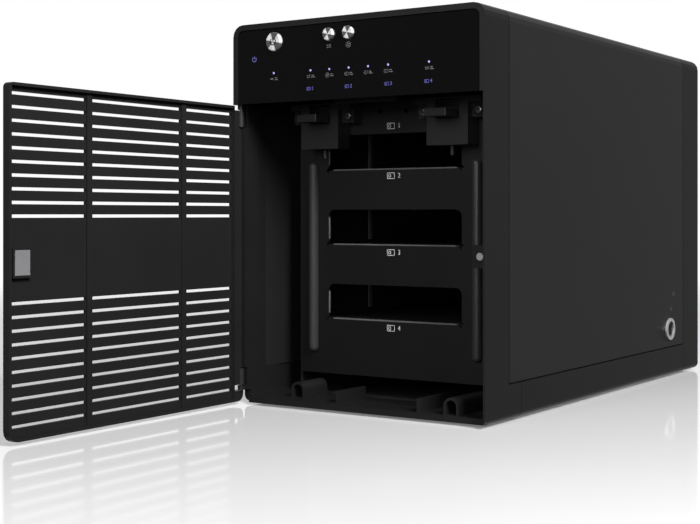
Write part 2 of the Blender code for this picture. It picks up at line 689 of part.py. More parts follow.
def build_fan_rotor():
    """The hub with its blades, turning about the housing's depth direction."""
    hub_front = FAN_FRONT + SEAT_THICK + 0.0004
    hub_back = FAN_FRONT + FAN_DEPTH - 0.0012
    hub = cylinder("fan_rotor", (0.0, (hub_front + hub_back) / 2, FAN_CENTRE_Z), 1, HUB_RADIUS,
                   hub_back - hub_front, black_plastic(), 28)
    reach = FAN_BORE - FAN_TIP_GAP
    blade_data = bmesh.new()
    for number in range(BLADE_COUNT):
        spin = Matrix.Rotation(math.tau * number / BLADE_COUNT, 4, 'Y')
        pitch = Matrix.Rotation(BLADE_PITCH, 4, 'Z')
        size = Matrix.Diagonal((BLADE_THICK, BLADE_CHORD, reach - HUB_RADIUS + BLADE_ROOT, 1.0))
        out = Matrix.Translation((0, 0, (reach + HUB_RADIUS - BLADE_ROOT) / 2))
        centre = Matrix.Translation(world(0, (hub_front + hub_back) / 2, FAN_CENTRE_Z))
        bmesh.ops.create_cube(blade_data, size=1.0, matrix=centre @ spin @ out @ pitch @ size)
    blades = mesh_object("fan_blades", blade_data, tools, None)
    return join(hub, blades)


def build_fan_guard():
    """A wire guard: flat rings on two crossed bars that end in screw eyes."""
    front = REAR_PANEL_DEPTH + SHEET + TOUCH
    ring_thick = 0.001
    span = FAN_HOLE_SPACING * math.sqrt(2)
    bar_data = bmesh.new()
    place = Matrix.Translation(world(0, front + 0.0014, FAN_CENTRE_Z))
    first = place @ Matrix.Rotation(math.pi / 4, 4, 'Y') @ Matrix.Diagonal((span, 0.0012, 0.0018, 1.0))
    bmesh.ops.create_cube(bar_data, size=1.0, matrix=first)
    guard = mesh_object("fan_guard", bar_data, parts, bright_steel())
    second_data = bmesh.new()
    second = place @ Matrix.Rotation(-math.pi / 4, 4, 'Y') @ Matrix.Diagonal((span, 0.0012, 0.0018, 1.0))
    bmesh.ops.create_cube(second_data, size=1.0, matrix=second)
    join(guard, mesh_object("guard_bar", second_data, tools, None))
    for number, radius in enumerate(GUARD_RINGS):
        inner, outer = radius - GUARD_WIRE / 2, radius + GUARD_WIRE / 2
        profile = [(inner, ring_thick), (outer, ring_thick), (outer, 0.0), (inner, 0.0),
                   (inner, ring_thick)]
        join(guard, turned("guard_ring_%d" % number, profile,
                           to_back(0, front + 0.0003, FAN_CENTRE_Z), None, 28))
    for number, (x, z) in enumerate(FAN_SCREWS):
        join(guard, cylinder("guard_eye_%d" % number, (x, front + GUARD_EYE_THICK / 2, z), 1,
                             GUARD_EYE_RADIUS, GUARD_EYE_THICK, None, 20))
    holes = [((x, front, z), 1, SCREW_RADIUS + 0.0003, 0.01) for x, z in FAN_SCREWS]
    return cut(guard, cylinders("guard_holes", holes))


def build_fan_screws():
    seat = REAR_PANEL_DEPTH + SHEET + TOUCH + GUARD_EYE_THICK + TOUCH
    for number, (x, z) in enumerate(FAN_SCREWS, 1):
        screw("fan_screw_%d" % number, x, seat, z, 0.0032, 0.0013, SCREW_RADIUS, 0.012, back=True)


# ---- control panel -------------------------------------------------------------------------------
BUTTONS = (("power_button", POWER_X, POWER_Z, POWER_RADIUS),
           ("sync_button", SYNC_X, SYNC_Z, SMALL_BUTTON_RADIUS),
           ("speed_button", SPEED_X, SYNC_Z, SMALL_BUTTON_RADIUS))

def build_fascia():
    """The glossy control panel with its button and lamp holes."""
    points = rounded_outline(-INNER_X + TOUCH, FASCIA_BOTTOM, INNER_X - TOUCH,
                             BODY_H - FRAME_WALL - TOUCH, (0.0004, 0.0028, 0.0028, 0.0004))
    fascia = outline_piece("fascia", points, FASCIA_THICK,
                           front_matrix(FASCIA_SET_BACK + FASCIA_THICK / 2), gloss_panel())
    bars = [((x, 0.0, z), 1, radius + BUTTON_GAP, 0.01) for _, x, z, radius in BUTTONS]
    bars += [((x, 0.0, LED_Z), 1, LED_RADIUS + 0.0001, 0.01) for x in LED_X]
    return cut(fascia, cylinders("fascia_holes", bars))


def build_light_pipe():
    """A clear bar behind the panel whose pins carry the lamps' light to its face."""
    back = FASCIA_SET_BACK + FASCIA_THICK + TOUCH
    pipe = box("light_pipe", (LED_X[0] - 0.003, back, LED_Z - 0.0015),
               (LED_X[-1] + 0.003, back + 0.003, LED_Z + 0.0015), clear_plastic())
    length = back - FASCIA_SET_BACK + 0.001
    bars = [((x, FASCIA_SET_BACK + length / 2, LED_Z), 1, LED_RADIUS, length) for x in LED_X]
    return join(pipe, cylinders("pipe_pins", bars))


def build_buttons():
    """Metal push buttons: a capped head, a flange behind the panel and a stem to the switch."""
    flange_front = FASCIA_SET_BACK + FASCIA_THICK + TOUCH
    for name, x, z, radius in BUTTONS:
        face = BUTTON_PROUD
        profile = [(0.0, face), (radius * 0.86, face), (radius * 0.96, face - 0.0002),
                   (radius, face - 0.0006), (radius, -flange_front), (radius + 0.0008, -flange_front),
                   (radius + 0.0008, -flange_front - 0.0008), (BUTTON_STEM, -flange_front - 0.0008),
                   (BUTTON_STEM, -BUTTON_STEM_END), (0.0, -BUTTON_STEM_END)]
        turned(name, profile, to_front(x, 0.0, z), spun_metal(), 24)


def build_front_board():
    """The control board behind the panel."""
    return box("front_board", (-0.057, BOARD_DEPTH, FASCIA_BOTTOM + SHELF_GAP + 0.0022),
               (0.052, BOARD_DEPTH + BOARD_THICK, BODY_H - 0.0045), circuit_board())


# ---- door ----------------------------------------------------------------------------------------
def door_columns():
    """Start and end of each slotted column, as distances from the hinge axis."""
    edges = [HINGE_STILE]
    for centre in RIB_CENTRES:
        edges += [centre - RIB_WIDTH / 2, centre + RIB_WIDTH / 2]
    edges.append(DOOR_LENGTH - FREE_STILE)
    return [(edges[i], edges[i + 1]) for i in range(0, len(edges), 2)]


def door_rows():
    """Centre height of each row of slots."""
    first = DOOR_TOP - SLOT_TOP_MARGIN
    last = DOOR_BOTTOM + SLOT_BOTTOM_MARGIN
    upper = [first - SLOT_PITCH * number for number in range(SLOT_ROWS)]
    lower = [last + SLOT_PITCH * number for number in range(SLOT_ROWS)]
    return upper + lower


def build_door():
    """The slotted door, open at a right angle, with knuckles on its hinge edge."""
    outer = PIVOT_X - PIVOT_DEPTH
    inner = outer + DOOR_THICK
    hinge_edge = PIVOT_DEPTH + PIVOT_INSET
    points = rounded_outline(-DOOR_LENGTH + PIVOT_DEPTH, DOOR_BOTTOM, hinge_edge, DOOR_TOP,
                             (0.0036, 0.0006, 0.002, 0.0042))
    turn = Matrix(((0, 0, 1, (outer + inner) / 2), (1, 0, 0, -BODY_D / 2), (0, 1, 0, 0), (0, 0, 0, 1)))
    door = outline_piece("door", points, DOOR_THICK, turn, black_plastic())
    for number, (low, high) in enumerate(lug_heights()):
        bottom = low - SWING_GAP
        top = high + SWING_GAP + (OPEN_NOTCH if number == 0 else 0.0)
        cut(door, cylinder("lug_notch_%d" % number, (PIVOT_X, PIVOT_DEPTH, (bottom + top) / 2), 2,
                           KNUCKLE_RADIUS + NOTCH_MARGIN, top - bottom, None, 24))
    for number, (low, high) in enumerate(lug_heights()):
        if number == 0:
            top = low - SWING_GAP
            bottom = top - KNUCKLE_LENGTH
        else:
            bottom = high + SWING_GAP
            top = bottom + KNUCKLE_LENGTH
        join(door, cylinder("knuckle_%d" % number, (PIVOT_X, PIVOT_DEPTH, (top + bottom) / 2), 2,
                            KNUCKLE_RADIUS, top - bottom, None, 24))
        cut(door, cylinder("knuckle_bore_%d" % number, (PIVOT_X, PIVOT_DEPTH, (top + bottom) / 2), 2,
                           HINGE_PIN_RADIUS + RUNNING_GAP, top - bottom + 0.0008, None, 16))
    slots = []
    for start, end in door_columns():
        for z in door_rows():
            slots.append(((outer - 0.001, PIVOT_DEPTH - end, z - SLOT_HEIGHT / 2),
                          (inner + 0.001, PIVOT_DEPTH - start, z + SLOT_HEIGHT / 2)))
    recess_door(door, outer, inner)
    cut(door, blocks("door_slots", slots))
    cut(door, blocks("strike_pocket", [strike_corners(0.0002, 0.001)]))
    return door


def recess_door(door, outer, inner):
    """Thins the door between its border, its ribs and the strike plate's boss."""
    low_y = PIVOT_DEPTH - DOOR_LENGTH + DOOR_BORDER
    high_y = PIVOT_DEPTH - HINGE_STILE
    low_z, high_z = DOOR_BOTTOM + DOOR_BORDER, DOOR_TOP - DOOR_BORDER
    recess = blocks("door_recess", [((outer + DOOR_PANEL, low_y, low_z), (inner + 0.001, high_y, high_z))])
    boss_low, boss_high = strike_corners(STRIKE_BOSS, 0.0)
    cut(recess, blocks("strike_boss", [((outer, boss_low[1], boss_low[2]),
                                        (inner + 0.002, boss_high[1], boss_high[2]))]))
    for number, centre in enumerate(RIB_CENTRES):
        middle = PIVOT_DEPTH - centre
        cut(recess, blocks("door_rib_%d" % number, [((outer, middle - RIB_WIDTH / 2, low_z - 0.001),
                                                     (outer + DOOR_PANEL + RIB_PROUD,
                                                      middle + RIB_WIDTH / 2, high_z + 0.001))]))
    cut(door, recess)


def strike_corners(margin, proud):
    """The strike plate's box, grown by a margin, on the door's inner face near its free edge."""
    inner = PIVOT_X - PIVOT_DEPTH + DOOR_THICK
    middle = PIVOT_DEPTH - DOOR_LENGTH + 0.0062
    low = (inner - STRIKE_THICK - 2 * margin, middle - STRIKE_W / 2 - margin,
           CATCH_HEIGHT - 0.0008 - STRIKE_H / 2 - margin)
    high = (inner + proud, middle + STRIKE_W / 2 + margin,
            CATCH_HEIGHT - 0.0008 + STRIKE_H / 2 + margin)
    return low, high


def build_strike():
    low, high = strike_corners(0.0, 0.0)
    return box("door_strike", low, high, bright_steel())


def build_hinge_pins():
    """Two steel pins, each through a lug and the knuckle beside it."""
    for number, (low, high) in enumerate(lug_heights()):
        name = ("hinge_pin_top", "hinge_pin_bottom")[number]
        reach = KNUCKLE_LENGTH - 0.0015
        bottom = low - SWING_GAP - reach if number == 0 else low
        top = high if number == 0 else high + SWING_GAP + reach
        cylinder(name, (PIVOT_X, PIVOT_DEPTH, (bottom + top) / 2), 2, HINGE_PIN_RADIUS, top - bottom,
                 bright_steel(), 16)


def build_magnet_catch():
    """The catch block on the right wall and the round magnet that it holds."""
    centre_x = HALF_W - LIP - DOOR_SIDE_GAP - 0.0062
    front = 0.009
    holder = box("magnet_holder", (centre_x - 0.0037, front, CATCH_HEIGHT - 0.0048),
                 (INNER_X - TOUCH, front + 0.006, CATCH_HEIGHT + 0.0048), black_plastic(), 0.0006)
    seat = cylinder("magnet_seat", (centre_x, front, CATCH_HEIGHT), 1, 0.0018, 0.0048, None, 24)
    cut(holder, seat)
    return cylinder("catch_magnet", (centre_x, front + 0.0008, CATCH_HEIGHT), 1, 0.0016, 0.0026,
                    bright_steel(), 24)


# ---- drive cage ----------------------------------------------------------------------------------
def build_cage_sides():
    """Two sheet walls of the drive cage, each with a row of breathing slots in every bay."""
    for name, side in (("cage_side_left", -1), ("cage_side_right", 1)):
        near = PLATE_HALF + TOUCH + 0.0005
        xs = sorted((side * near, side * (near + SHEET)))
        wall = box(name, (xs[0], CAGE_FRONT, BAY_FLOOR - SHEET),
                   (xs[1], BACKPLANE_DEPTH - CAGE_BACK_GAP, CAGE_TOP), painted_sheet())
        holes = []
        for bay in range(BAY_COUNT):
            z = BAY_FLOOR + BAY_PITCH * (bay + 0.5)
            for column in range(3):
                depth = CAGE_FRONT + SIDE_SLOT_FIRST + column * SIDE_SLOT_PITCH
                holes.append(((xs[0] - THROUGH, depth, z - SIDE_SLOT_H / 2),
                              (xs[1] + THROUGH, depth + SIDE_SLOT_L, z + SIDE_SLOT_H / 2)))
        cut(wall, blocks(name + "_holes", holes))


def build_shelves():
    """One shelf under each bay, and the lid over the uppermost."""
    for bay in range(BAY_COUNT):
        top = BAY_FLOOR + BAY_PITCH * bay
        box("bay_shelf_%d" % (BAY_COUNT - bay), (-PLATE_HALF, CAGE_FRONT, top - SHEET),
            (PLATE_HALF, BACKPLANE_DEPTH - SHELF_BACK_GAP, top), painted_sheet())
    box("cage_lid", (-PLATE_HALF, CAGE_FRONT, CAGE_TOP - SHEET),
        (PLATE_HALF, BACKPLANE_DEPTH - CAGE_BACK_GAP, CAGE_TOP), painted_sheet())


def window_bottoms():
    """Lower edge of each window in the drive cover: one for each bay but the lowest."""
    return [BAY_FLOOR + BAY_PITCH * bay for bay in range(1, BAY_COUNT)]


def build_drive_cover():
    """The removable retaining plate: windows, folded edges and two upright rods."""
    plate = box("drive_cover", (-PLATE_HALF, COVER_PLATE_DEPTH, COVER_BOTTOM),
                (PLATE_HALF, COVER_PLATE_DEPTH + SHEET, COVER_TOP), painted_sheet())
    for number, z in enumerate(window_bottoms()):
        half = WINDOW_W / 2
        points = rounded_outline(-half, z, half, z + WINDOW_H,
                                 (0.0004, WINDOW_RADIUS, WINDOW_RADIUS, 0.0004))
        cut(plate, outline_piece("window_%d" % number, points, 0.01, front_matrix(COVER_PLATE_DEPTH), None))
    bars = []
    for z in window_bottoms():
        for x in (-WINDOW_W / 2, WINDOW_W / 2):
            bars.append(((x, COVER_PLATE_DEPTH, z), 1, NOTCH_RADIUS, 0.01))
    cut(plate, cylinders("relief_notches", bars))
    holes = [((x, COVER_PLATE_DEPTH, COVER_HOLE_Z), 1, COVER_HOLE_RADIUS, 0.01)
             for x in (-COVER_HOLE_X, COVER_HOLE_X)]
    holes += [((side * LATCH_X + offset, COVER_PLATE_DEPTH, SCREW_Z), 1, LATCH_SCREW_RADIUS + 0.0002, 0.01)
              for side in (-1, 1) for offset in (-LATCH_SCREW_X, LATCH_SCREW_X)]
    cut(plate, cylinders("cover_holes", holes))
    for number, x in enumerate((-ROD_X, ROD_X)):
        height = ROD_TOP - ROD_BOTTOM
        steps = 5
        profile = []
        for step in range(steps + 1):
            angle = math.pi / 2 * (1 - step / steps)
            profile.append((ROD_RADIUS * math.cos(angle), ROD_RADIUS * math.sin(angle)))
        lower = [(r, -height + 2 * ROD_RADIUS - h) for r, h in reversed(profile)]
        place = Matrix.Translation(world(x, COVER_PLATE_DEPTH - 0.0007, ROD_TOP - ROD_RADIUS))
        join(plate, turned("cover_rod_%d" % number, profile + lower, place, None, 20))
    return plate


# ---- latches -------------------------------------------------------------------------------------
def build_latch(name, centre_x):
    """A latch body with wings, screw lugs, a pocket for the thumb tab and a hole for its pin."""
    back = COVER_PLATE_DEPTH - TOUCH
    half = LATCH_W / 2
    body = box("latch_body_" + name, (centre_x - half, LATCH_FRONT, LATCH_BOTTOM),
               (centre_x + half, back, LATCH_TOP), black_plastic(), 0.0004, 1, 2)
    wing_low = LATCH_TOP - WING_H
    join(body, blocks("wing_" + name, [((centre_x - WING_W / 2, LATCH_FRONT + 0.0001, wing_low),
                                        (centre_x + WING_W / 2, back, LATCH_TOP - 0.0001))]))
    lug_half = WING_W / 2 - 0.0001
    lugs = ((centre_x - lug_half, LATCH_FRONT + LUG_SET_BACK, wing_low - LUG_H),
            (centre_x + lug_half, back - 0.0001, wing_low + 0.0005))
    join(body, blocks("lugs_" + name, [lugs]))
    pocket_half = SLIDER_W / 2 + 0.0005
    pocket = ((centre_x - pocket_half, LATCH_FRONT - THROUGH, SLIDER_TOP - SLIDER_H - TOUCH),
              (centre_x + pocket_half, back - POCKET_BACK, LATCH_TOP - POCKET_ROOF))
    cut(body, blocks("pocket_" + name, [pocket]))
    pin_middle = (LATCH_BOTTOM + SLIDER_TOP) / 2
    cut(body, cylinders("pin_hole_" + name, [((centre_x, LATCH_PIN_DEPTH, pin_middle), 2,
                                              LATCH_PIN_RADIUS + TOUCH, LATCH_H)]))
    holes = [((centre_x + offset, back, SCREW_Z), 1, LATCH_SCREW_RADIUS + 0.0002, 0.03)
             for offset in (-LATCH_SCREW_X, LATCH_SCREW_X)]
    cut(body, cylinders("lug_screw_holes_" + name, holes))
    build_slider(name, centre_x, back)
    for number, offset in enumerate((-LATCH_SCREW_X, LATCH_SCREW_X), 1):
        screw("latch_screw_%s_%d" % (name, number), centre_x + offset, LATCH_FRONT + LUG_SET_BACK - TOUCH,
              SCREW_Z, 0.0015, 0.0008, LATCH_SCREW_RADIUS, 0.0072)


def build_slider(name, centre_x, back):
    """The sliding thumb tab with its round locking pin."""
    low = SLIDER_TOP - SLIDER_H
    slider = box("latch_slider_" + name, (centre_x - SLIDER_W / 2, LATCH_FRONT - SLIDER_REACH, low),
                 (centre_x + SLIDER_W / 2, back - 0.002, SLIDER_TOP), black_plastic(), 0.0005, 2, 2)
    bottom = LATCH_BOTTOM - LATCH_PIN_SHOWING
    pin = cylinder("slider_pin_" + name, (centre_x, LATCH_PIN_DEPTH, (bottom + low + 0.001) / 2), 2,
                   LATCH_PIN_RADIUS, low + 0.001 - bottom, None, 12, 0.0003)
    return join(slider, pin)


# ---- electronics ---------------------------------------------------------------------------------
def build_backplane():
    """The upright board behind the drives, slotted for air, and a socket for each drive."""
    board = box("backplane_board", (-0.050, BACKPLANE_DEPTH, BAY_FLOOR + 0.001),
                (0.050, BACKPLANE_DEPTH + BOARD_THICK, CAGE_TOP - 0.002), circuit_board())
    slots = []
    for bay in range(BAY_COUNT):
        z = BAY_FLOOR + BAY_PITCH * bay + BOARD_SLOT_RISE
        slots.append(((-BOARD_SLOT_HALF, BACKPLANE_DEPTH - THROUGH, z),
                      (BOARD_SLOT_HALF, BACKPLANE_DEPTH + BOARD_THICK + THROUGH, z + BOARD_SLOT_H)))
    cut(board, blocks("board_slots", slots))
    for bay in range(BAY_COUNT):
        z = BAY_FLOOR + BAY_PITCH * bay + CONNECTOR_RISE
        front = BACKPLANE_DEPTH - TOUCH - CONNECTOR_REACH
        plug = box("drive_socket_%d" % (BAY_COUNT - bay), (-CONNECTOR_W / 2, front, z),
                   (CONNECTOR_W / 2, BACKPLANE_DEPTH - TOUCH, z + CONNECTOR_H), black_plastic())
        grooves = [((-CONNECTOR_W / 2 + 0.002, front - 0.001, z + 0.0025),
                    (0.0045, front + 0.0045, z + 0.005)),
                   ((0.0065, front - 0.001, z + 0.0025),
                    (CONNECTOR_W / 2 - 0.002, front + 0.0045, z + 0.005))]
        cut(plug, blocks("socket_grooves_%d" % bay, grooves))


def build_main_board():
    """The level board at the back with the data socket and the power inlet."""
    back = REAR_PANEL_DEPTH - 0.001
    box("main_board", (-0.048, BACKPLANE_DEPTH + BOARD_THICK + 0.002, PORT_HEIGHT - TOUCH - BOARD_THICK),
        (0.048, back, PORT_HEIGHT - TOUCH), circuit_board())
    out = SOCKET_FACE
    usb = box("data_socket", (USB_X - USB_W / 2, out - 0.0085, PORT_HEIGHT + TOUCH),
              (USB_X + USB_W / 2, out, PORT_HEIGHT + TOUCH + USB_H), bright_steel(), 0.0015)
    wall = 0.0005
    mouth = box("data_socket_mouth", (USB_X - USB_W / 2 + wall, out - 0.0065, PORT_HEIGHT + TOUCH + wall),
                (USB_X + USB_W / 2 - wall, out + THROUGH, PORT_HEIGHT + TOUCH + USB_H - wall),
                None, 0.0011)
    cut(usb, mouth)
    inlet = cylinder("power_inlet", (DC_X, out - 0.002, INLET_Z), 1, DC_RADIUS, 0.004, black_plastic())
    join(inlet, blocks("inlet_body", [((DC_X - 0.005, out - 0.014, PORT_HEIGHT + TOUCH),
                                       (DC_X + 0.005, REAR_PANEL_DEPTH - TOUCH, INLET_Z + 0.005))]))
    cut(inlet, cylinder("inlet_bore", (DC_X, out - 0.005, INLET_Z), 1, DC_BORE, 0.0125, None))


# ---- lock and feet -------------------------------------------------------------------------------
def build_side_lock():
    """A quarter-turn lock on the right side: fixed ring, turning barrel with a cam behind."""
    ring_profile = [(LOCK_RADIUS + LOCK_FLANGE, 0.0009), (LOCK_RADIUS + LOCK_FLANGE, 0.0),
                    (LOCK_RADIUS - 0.0006, 0.0), (LOCK_RADIUS - 0.0006, 0.0009),
                    (LOCK_RADIUS + LOCK_FLANGE, 0.0009)]
    side = Matrix.Translation(world(HALF_W + TOUCH, LOCK_DEPTH_FROM_FRONT, LOCK_Z))
    turned("lock_ring", ring_profile, side @ Matrix.Rotation(math.pi / 2, 4, 'Y'), bright_steel(), 24)
    radius = LOCK_RADIUS - 0.0009
    barrel = cylinder("lock_barrel", (HALF_W - 0.0055, LOCK_DEPTH_FROM_FRONT, LOCK_Z), 0, radius, 0.0122,
                      bright_steel(), 20)
    join(barrel, blocks("lock_cam", [((HALF_W - 0.0116, LOCK_DEPTH_FROM_FRONT - 0.0028, LOCK_Z - 0.0028),
                                      (HALF_W - 0.0098, LOCK_DEPTH_FROM_FRONT + 0.0028, LOCK_Z + 0.010))]))
    cut(barrel, blocks("key_slot", [((HALF_W - 0.004, LOCK_DEPTH_FROM_FRONT - 0.0004, LOCK_Z - 0.0023),
                                     (HALF_W + 0.002, LOCK_DEPTH_FROM_FRONT + 0.0004, LOCK_Z + 0.0023))]))


def build_feet():
    """Four rubber feet, seated in the tray's wells."""
    for number, (x, depth) in enumerate(foot_places(), 1):
        cylinder("foot_%d" % number, (x, depth, FOOT_WELL - TOUCH - FOOT_THICK / 2), 2, FOOT_RADIUS,
                 FOOT_THICK, foot_rubber(), 16)


def main():
    """Build every piece."""
    global parts, tools
    clear_scene()
    parts = make_collection("drive_enclosure")
    tools = make_collection("cutters")
    build_front_bezel()
    build_base_tray()
    build_cover()
    build_rear_frame()
    build_rear_panel()
    build_rear_screws()
    build_fan_frame()
    build_fan_rotor()
    build_fan_guard()
    build_fan_screws()
    build_fascia()
    build_light_pipe()
    build_buttons()
    build_front_board()
    build_door()
    build_strike()
    build_hinge_pins()
    build_magnet_catch()
    build_cage_sides()
    build_shelves()
    build_drive_cover()
    build_latch("left", -LATCH_X)
    build_latch("right", LATCH_X)
    build_backplane()
    build_main_board()
    build_side_lock()
    build_feet()


main()
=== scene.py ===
import math

import bmesh
import bpy
from mathutils import Matrix, Vector


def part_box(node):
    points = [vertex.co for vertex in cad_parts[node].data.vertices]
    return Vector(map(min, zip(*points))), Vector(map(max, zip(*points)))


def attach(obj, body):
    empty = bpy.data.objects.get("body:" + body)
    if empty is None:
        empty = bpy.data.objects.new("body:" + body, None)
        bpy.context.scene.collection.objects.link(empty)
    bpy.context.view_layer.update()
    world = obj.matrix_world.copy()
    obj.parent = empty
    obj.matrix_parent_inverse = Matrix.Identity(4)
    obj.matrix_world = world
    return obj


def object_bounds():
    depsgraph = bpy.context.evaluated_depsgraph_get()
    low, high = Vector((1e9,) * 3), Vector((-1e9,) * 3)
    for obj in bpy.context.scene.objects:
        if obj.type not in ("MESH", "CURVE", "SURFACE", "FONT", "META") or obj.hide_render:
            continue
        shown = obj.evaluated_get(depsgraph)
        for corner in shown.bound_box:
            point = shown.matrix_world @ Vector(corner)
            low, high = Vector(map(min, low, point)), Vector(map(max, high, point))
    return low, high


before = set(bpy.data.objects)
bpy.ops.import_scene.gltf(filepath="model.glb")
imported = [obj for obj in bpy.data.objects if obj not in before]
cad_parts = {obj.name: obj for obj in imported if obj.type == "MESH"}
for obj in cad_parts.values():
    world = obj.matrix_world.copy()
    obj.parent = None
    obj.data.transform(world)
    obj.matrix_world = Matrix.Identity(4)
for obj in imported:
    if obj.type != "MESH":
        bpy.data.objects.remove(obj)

bl_info = {
    "name": "Drive Enclosure Finish",
    "version": (1, 0, 0),
    "blender": (4, 5, 0),
    "location": "3D View > Sidebar > Enclosure",
    "description": "Finishes, marks, lamps and studio for the four-bay drive enclosure",
    "category": "Object",
}

CAD_LOW, CAD_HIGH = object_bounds()

# Ways to lay a flat mark on a face: across, up and out of the face.
ON_FRONT = Matrix(((1, 0, 0), (0, 0, -1), (0, 1, 0))).to_4x4()
ON_RIGHT = Matrix(((0, 0, 1), (1, 0, 0), (0, 1, 0))).to_4x4()
ON_REAR = Matrix(((-1, 0, 0), (0, 0, 1), (0, 1, 0))).to_4x4()

# The control panel: places across it, and the height of each row.
LAMP_PLACES = (-0.0431, -0.0224, -0.0121, -0.0017, 0.0085, 0.0189, 0.0394)
LAMP_ROW = 0.1492
LAMP_SIGN_ROW = 0.1466
BAY_MARK_PLACES = (-0.0225, -0.0017, 0.0191, 0.0392)
BAY_MARK_ROW = 0.1412
KEY_SIGN_PLACES = (-0.0123, -0.0018)
KEY_SIGN_ROW = 0.1592
POWER_SIGN_PLACE, POWER_SIGN_ROW = -0.0543, 0.156

# The drive cover, with its windows, labels and rods.
HOUSING_FRONT = -0.119
PLATE_SETBACK = 0.032
PLATE_FRONT = HOUSING_FRONT + PLATE_SETBACK
BAY_LABEL_HEIGHTS = (0.1259, 0.1034, 0.0687, 0.0345)
WINDOW_HALF = 0.0362
WINDOW_FLOORS = (0.0375, 0.0719, 0.1063)
ROD_PLACE, ROD_REACH, ROD_SURFACE = 0.0443, 0.0026, -0.0871

# The drive cage, and the strips behind the side seams.
BAY_COUNT, BAY_FLOOR, BAY_PITCH = 4, 0.0031, 0.0344
CAGE_HALF = 0.0516
STRIP_SIDES = (0.06395, 0.0652)
STRIP_DEPTHS = (-0.0987, 0.0962)
STRIP_HEIGHTS = (0.01496, 0.01564)

# The latch screws: a domed head, its cross and the rim round it.
SCREW_HEAD_RADIUS, SCREW_HEAD_TOP = 0.002, 0.0016
SCREW_CROSS_HALF, SCREW_CROSS_WIDTH = 0.00125, 0.00056
SCREW_RIM_RADIUS = 0.0025

# The camera, and how far the floors reach.
CAMERA_PLACE = (0.3251, -0.5656, 0.08586)
CAMERA_TURN = 31.64
CAMERA_LENS = 65.87
CAMERA_SHIFT = (-0.1429, -0.0678)
NEAR_FLOOR, FAR_FLOOR = 1.4, 14.0


# ---------------------------------------------------------------- material maths

class Field:
    """One value in a material; sums and products of fields add the nodes they need."""

    def __init__(self, tree, socket=None):
        self.tree = tree
        self.socket = socket

    def node(self, kind, settings=None, values=None, out=0):
        """Adds a node: its settings first, then the value or link of each socket."""
        made = self.tree.nodes.new(kind)
        for key, value in (settings or {}).items():
            setattr(made, key, value)
        for key, value in (values or {}).items():
            if isinstance(value, Field):
                self.tree.links.new(value.socket, made.inputs[key])
            else:
                made.inputs[key].default_value = value
        return Field(self.tree, made.outputs[out])

    def maths(self, operation, first, second=0.0):
        return self.node("ShaderNodeMath", {"operation": operation}, {0: first, 1: second})

    def __add__(self, other):
        return self.maths("ADD", self, other)

    __radd__ = __add__

    def __sub__(self, other):
        return self.maths("SUBTRACT", self, other)

    def __rsub__(self, other):
        return self.maths("SUBTRACT", other, self)

    def __mul__(self, other):
        return self.maths("MULTIPLY", self, other)

    __rmul__ = __mul__

    def __pow__(self, other):
        return self.maths("POWER", self, other)

    def __lt__(self, other):
        return self.maths("LESS_THAN", self, other)

    def __gt__(self, other):
        return self.maths("GREATER_THAN", self, other)

    def __abs__(self):
        return self.maths("ABSOLUTE", self)

    def shade(self, low, high):
        """Runs from one colour to another as this value goes from 0 to 1."""
        return self.node("ShaderNodeMix", {"data_type": "RGBA"}, {0: self, 6: low, 7: high}, out=2)


def grey(value):
    return (value, value, value, 1.0)


def tinted(colour, amount=1.0):
    return (colour[0] * amount, colour[1] * amount, colour[2] * amount, 1.0)


class Finish:
    """A material being made: its place field, its shader and the noise it is built from."""

    def __init__(self, name, centre=(0.0, 0.0, 0.0)):
        self.material = bpy.data.materials.new(name)
        self.material.use_nodes = True
        tree = self.material.node_tree
        tree.nodes.clear()
        self.start = Field(tree)
        place = self.start.node("ShaderNodeTexCoord", out=3)
        self.place = self.start.node("ShaderNodeMapping", None,
                                     {"Vector": place, "Location": [-c for c in centre]})
        self.shader = tree.nodes.new("ShaderNodeBsdfPrincipled")
        self.output = tree.nodes.new("ShaderNodeOutputMaterial")
        tree.links.new(self.shader.outputs[0], self.output.inputs[0])

    def fade_out(self, amount):
        """Lets the surface give way to whatever lies under it as amount goes to 1."""
        clear = self.start.node("ShaderNodeBsdfTransparent")
        own = Field(self.material.node_tree, self.shader.outputs[0])
        both = self.start.node("ShaderNodeMixShader", None, {0: amount, 1: own, 2: clear})
        self.material.node_tree.links.new(both.socket, self.output.inputs[0])

    def noise(self, scale, detail=3.0, rough=0.5):
        return self.start.node("ShaderNodeTexNoise", None,
                               {"Vector": self.place, "Scale": scale, "Detail": detail,
                                "Roughness": rough})

    def cells(self, scale):
        return self.start.node("ShaderNodeTexVoronoi", None,
                               {"Vector": self.place, "Scale": scale})

    def axis(self, which):
        return self.start.node("ShaderNodeSeparateXYZ", None, {0: self.place}, out=which)

    def bump(self, height, strength, distance):
        return self.start.node("ShaderNodeBump", None,
                               {"Height": height, "Strength": strength, "Distance": distance})

    def set(self, **sockets):
        """Sets or links the shader's sockets, named with underscores for spaces."""
        for key, value in sockets.items():
            socket = self.shader.inputs[key.replace("_", " ")]
            if isinstance(value, Field):
                self.material.node_tree.links.new(value.socket, socket)
            else:
                socket.default_value = value
        return self.material


def moulded_plastic(name, colour, roughness, grain, lift=1.5):
    """Spark-eroded moulded plastic: a fine even grain and faint cloudy patches."""
    f = Finish(name)
    fine = f.noise(1.0 / grain, 2.0, 0.6)
    pits = f.cells(0.7 / grain)
    cloud = f.noise(24.0, 4.0, 0.55)
    tone = fine * 0.55 + cloud * 0.45
    return f.set(Base_Color=tone.shade(tinted(colour, 0.7), tinted(colour, lift)),
                 Roughness=cloud * 0.12 + fine * 0.08 + (roughness - 0.1),
                 Normal=f.bump(fine * 0.6 + pits * 0.4, 0.22, 0.00006),
                 Specular_IOR_Level=0.4)


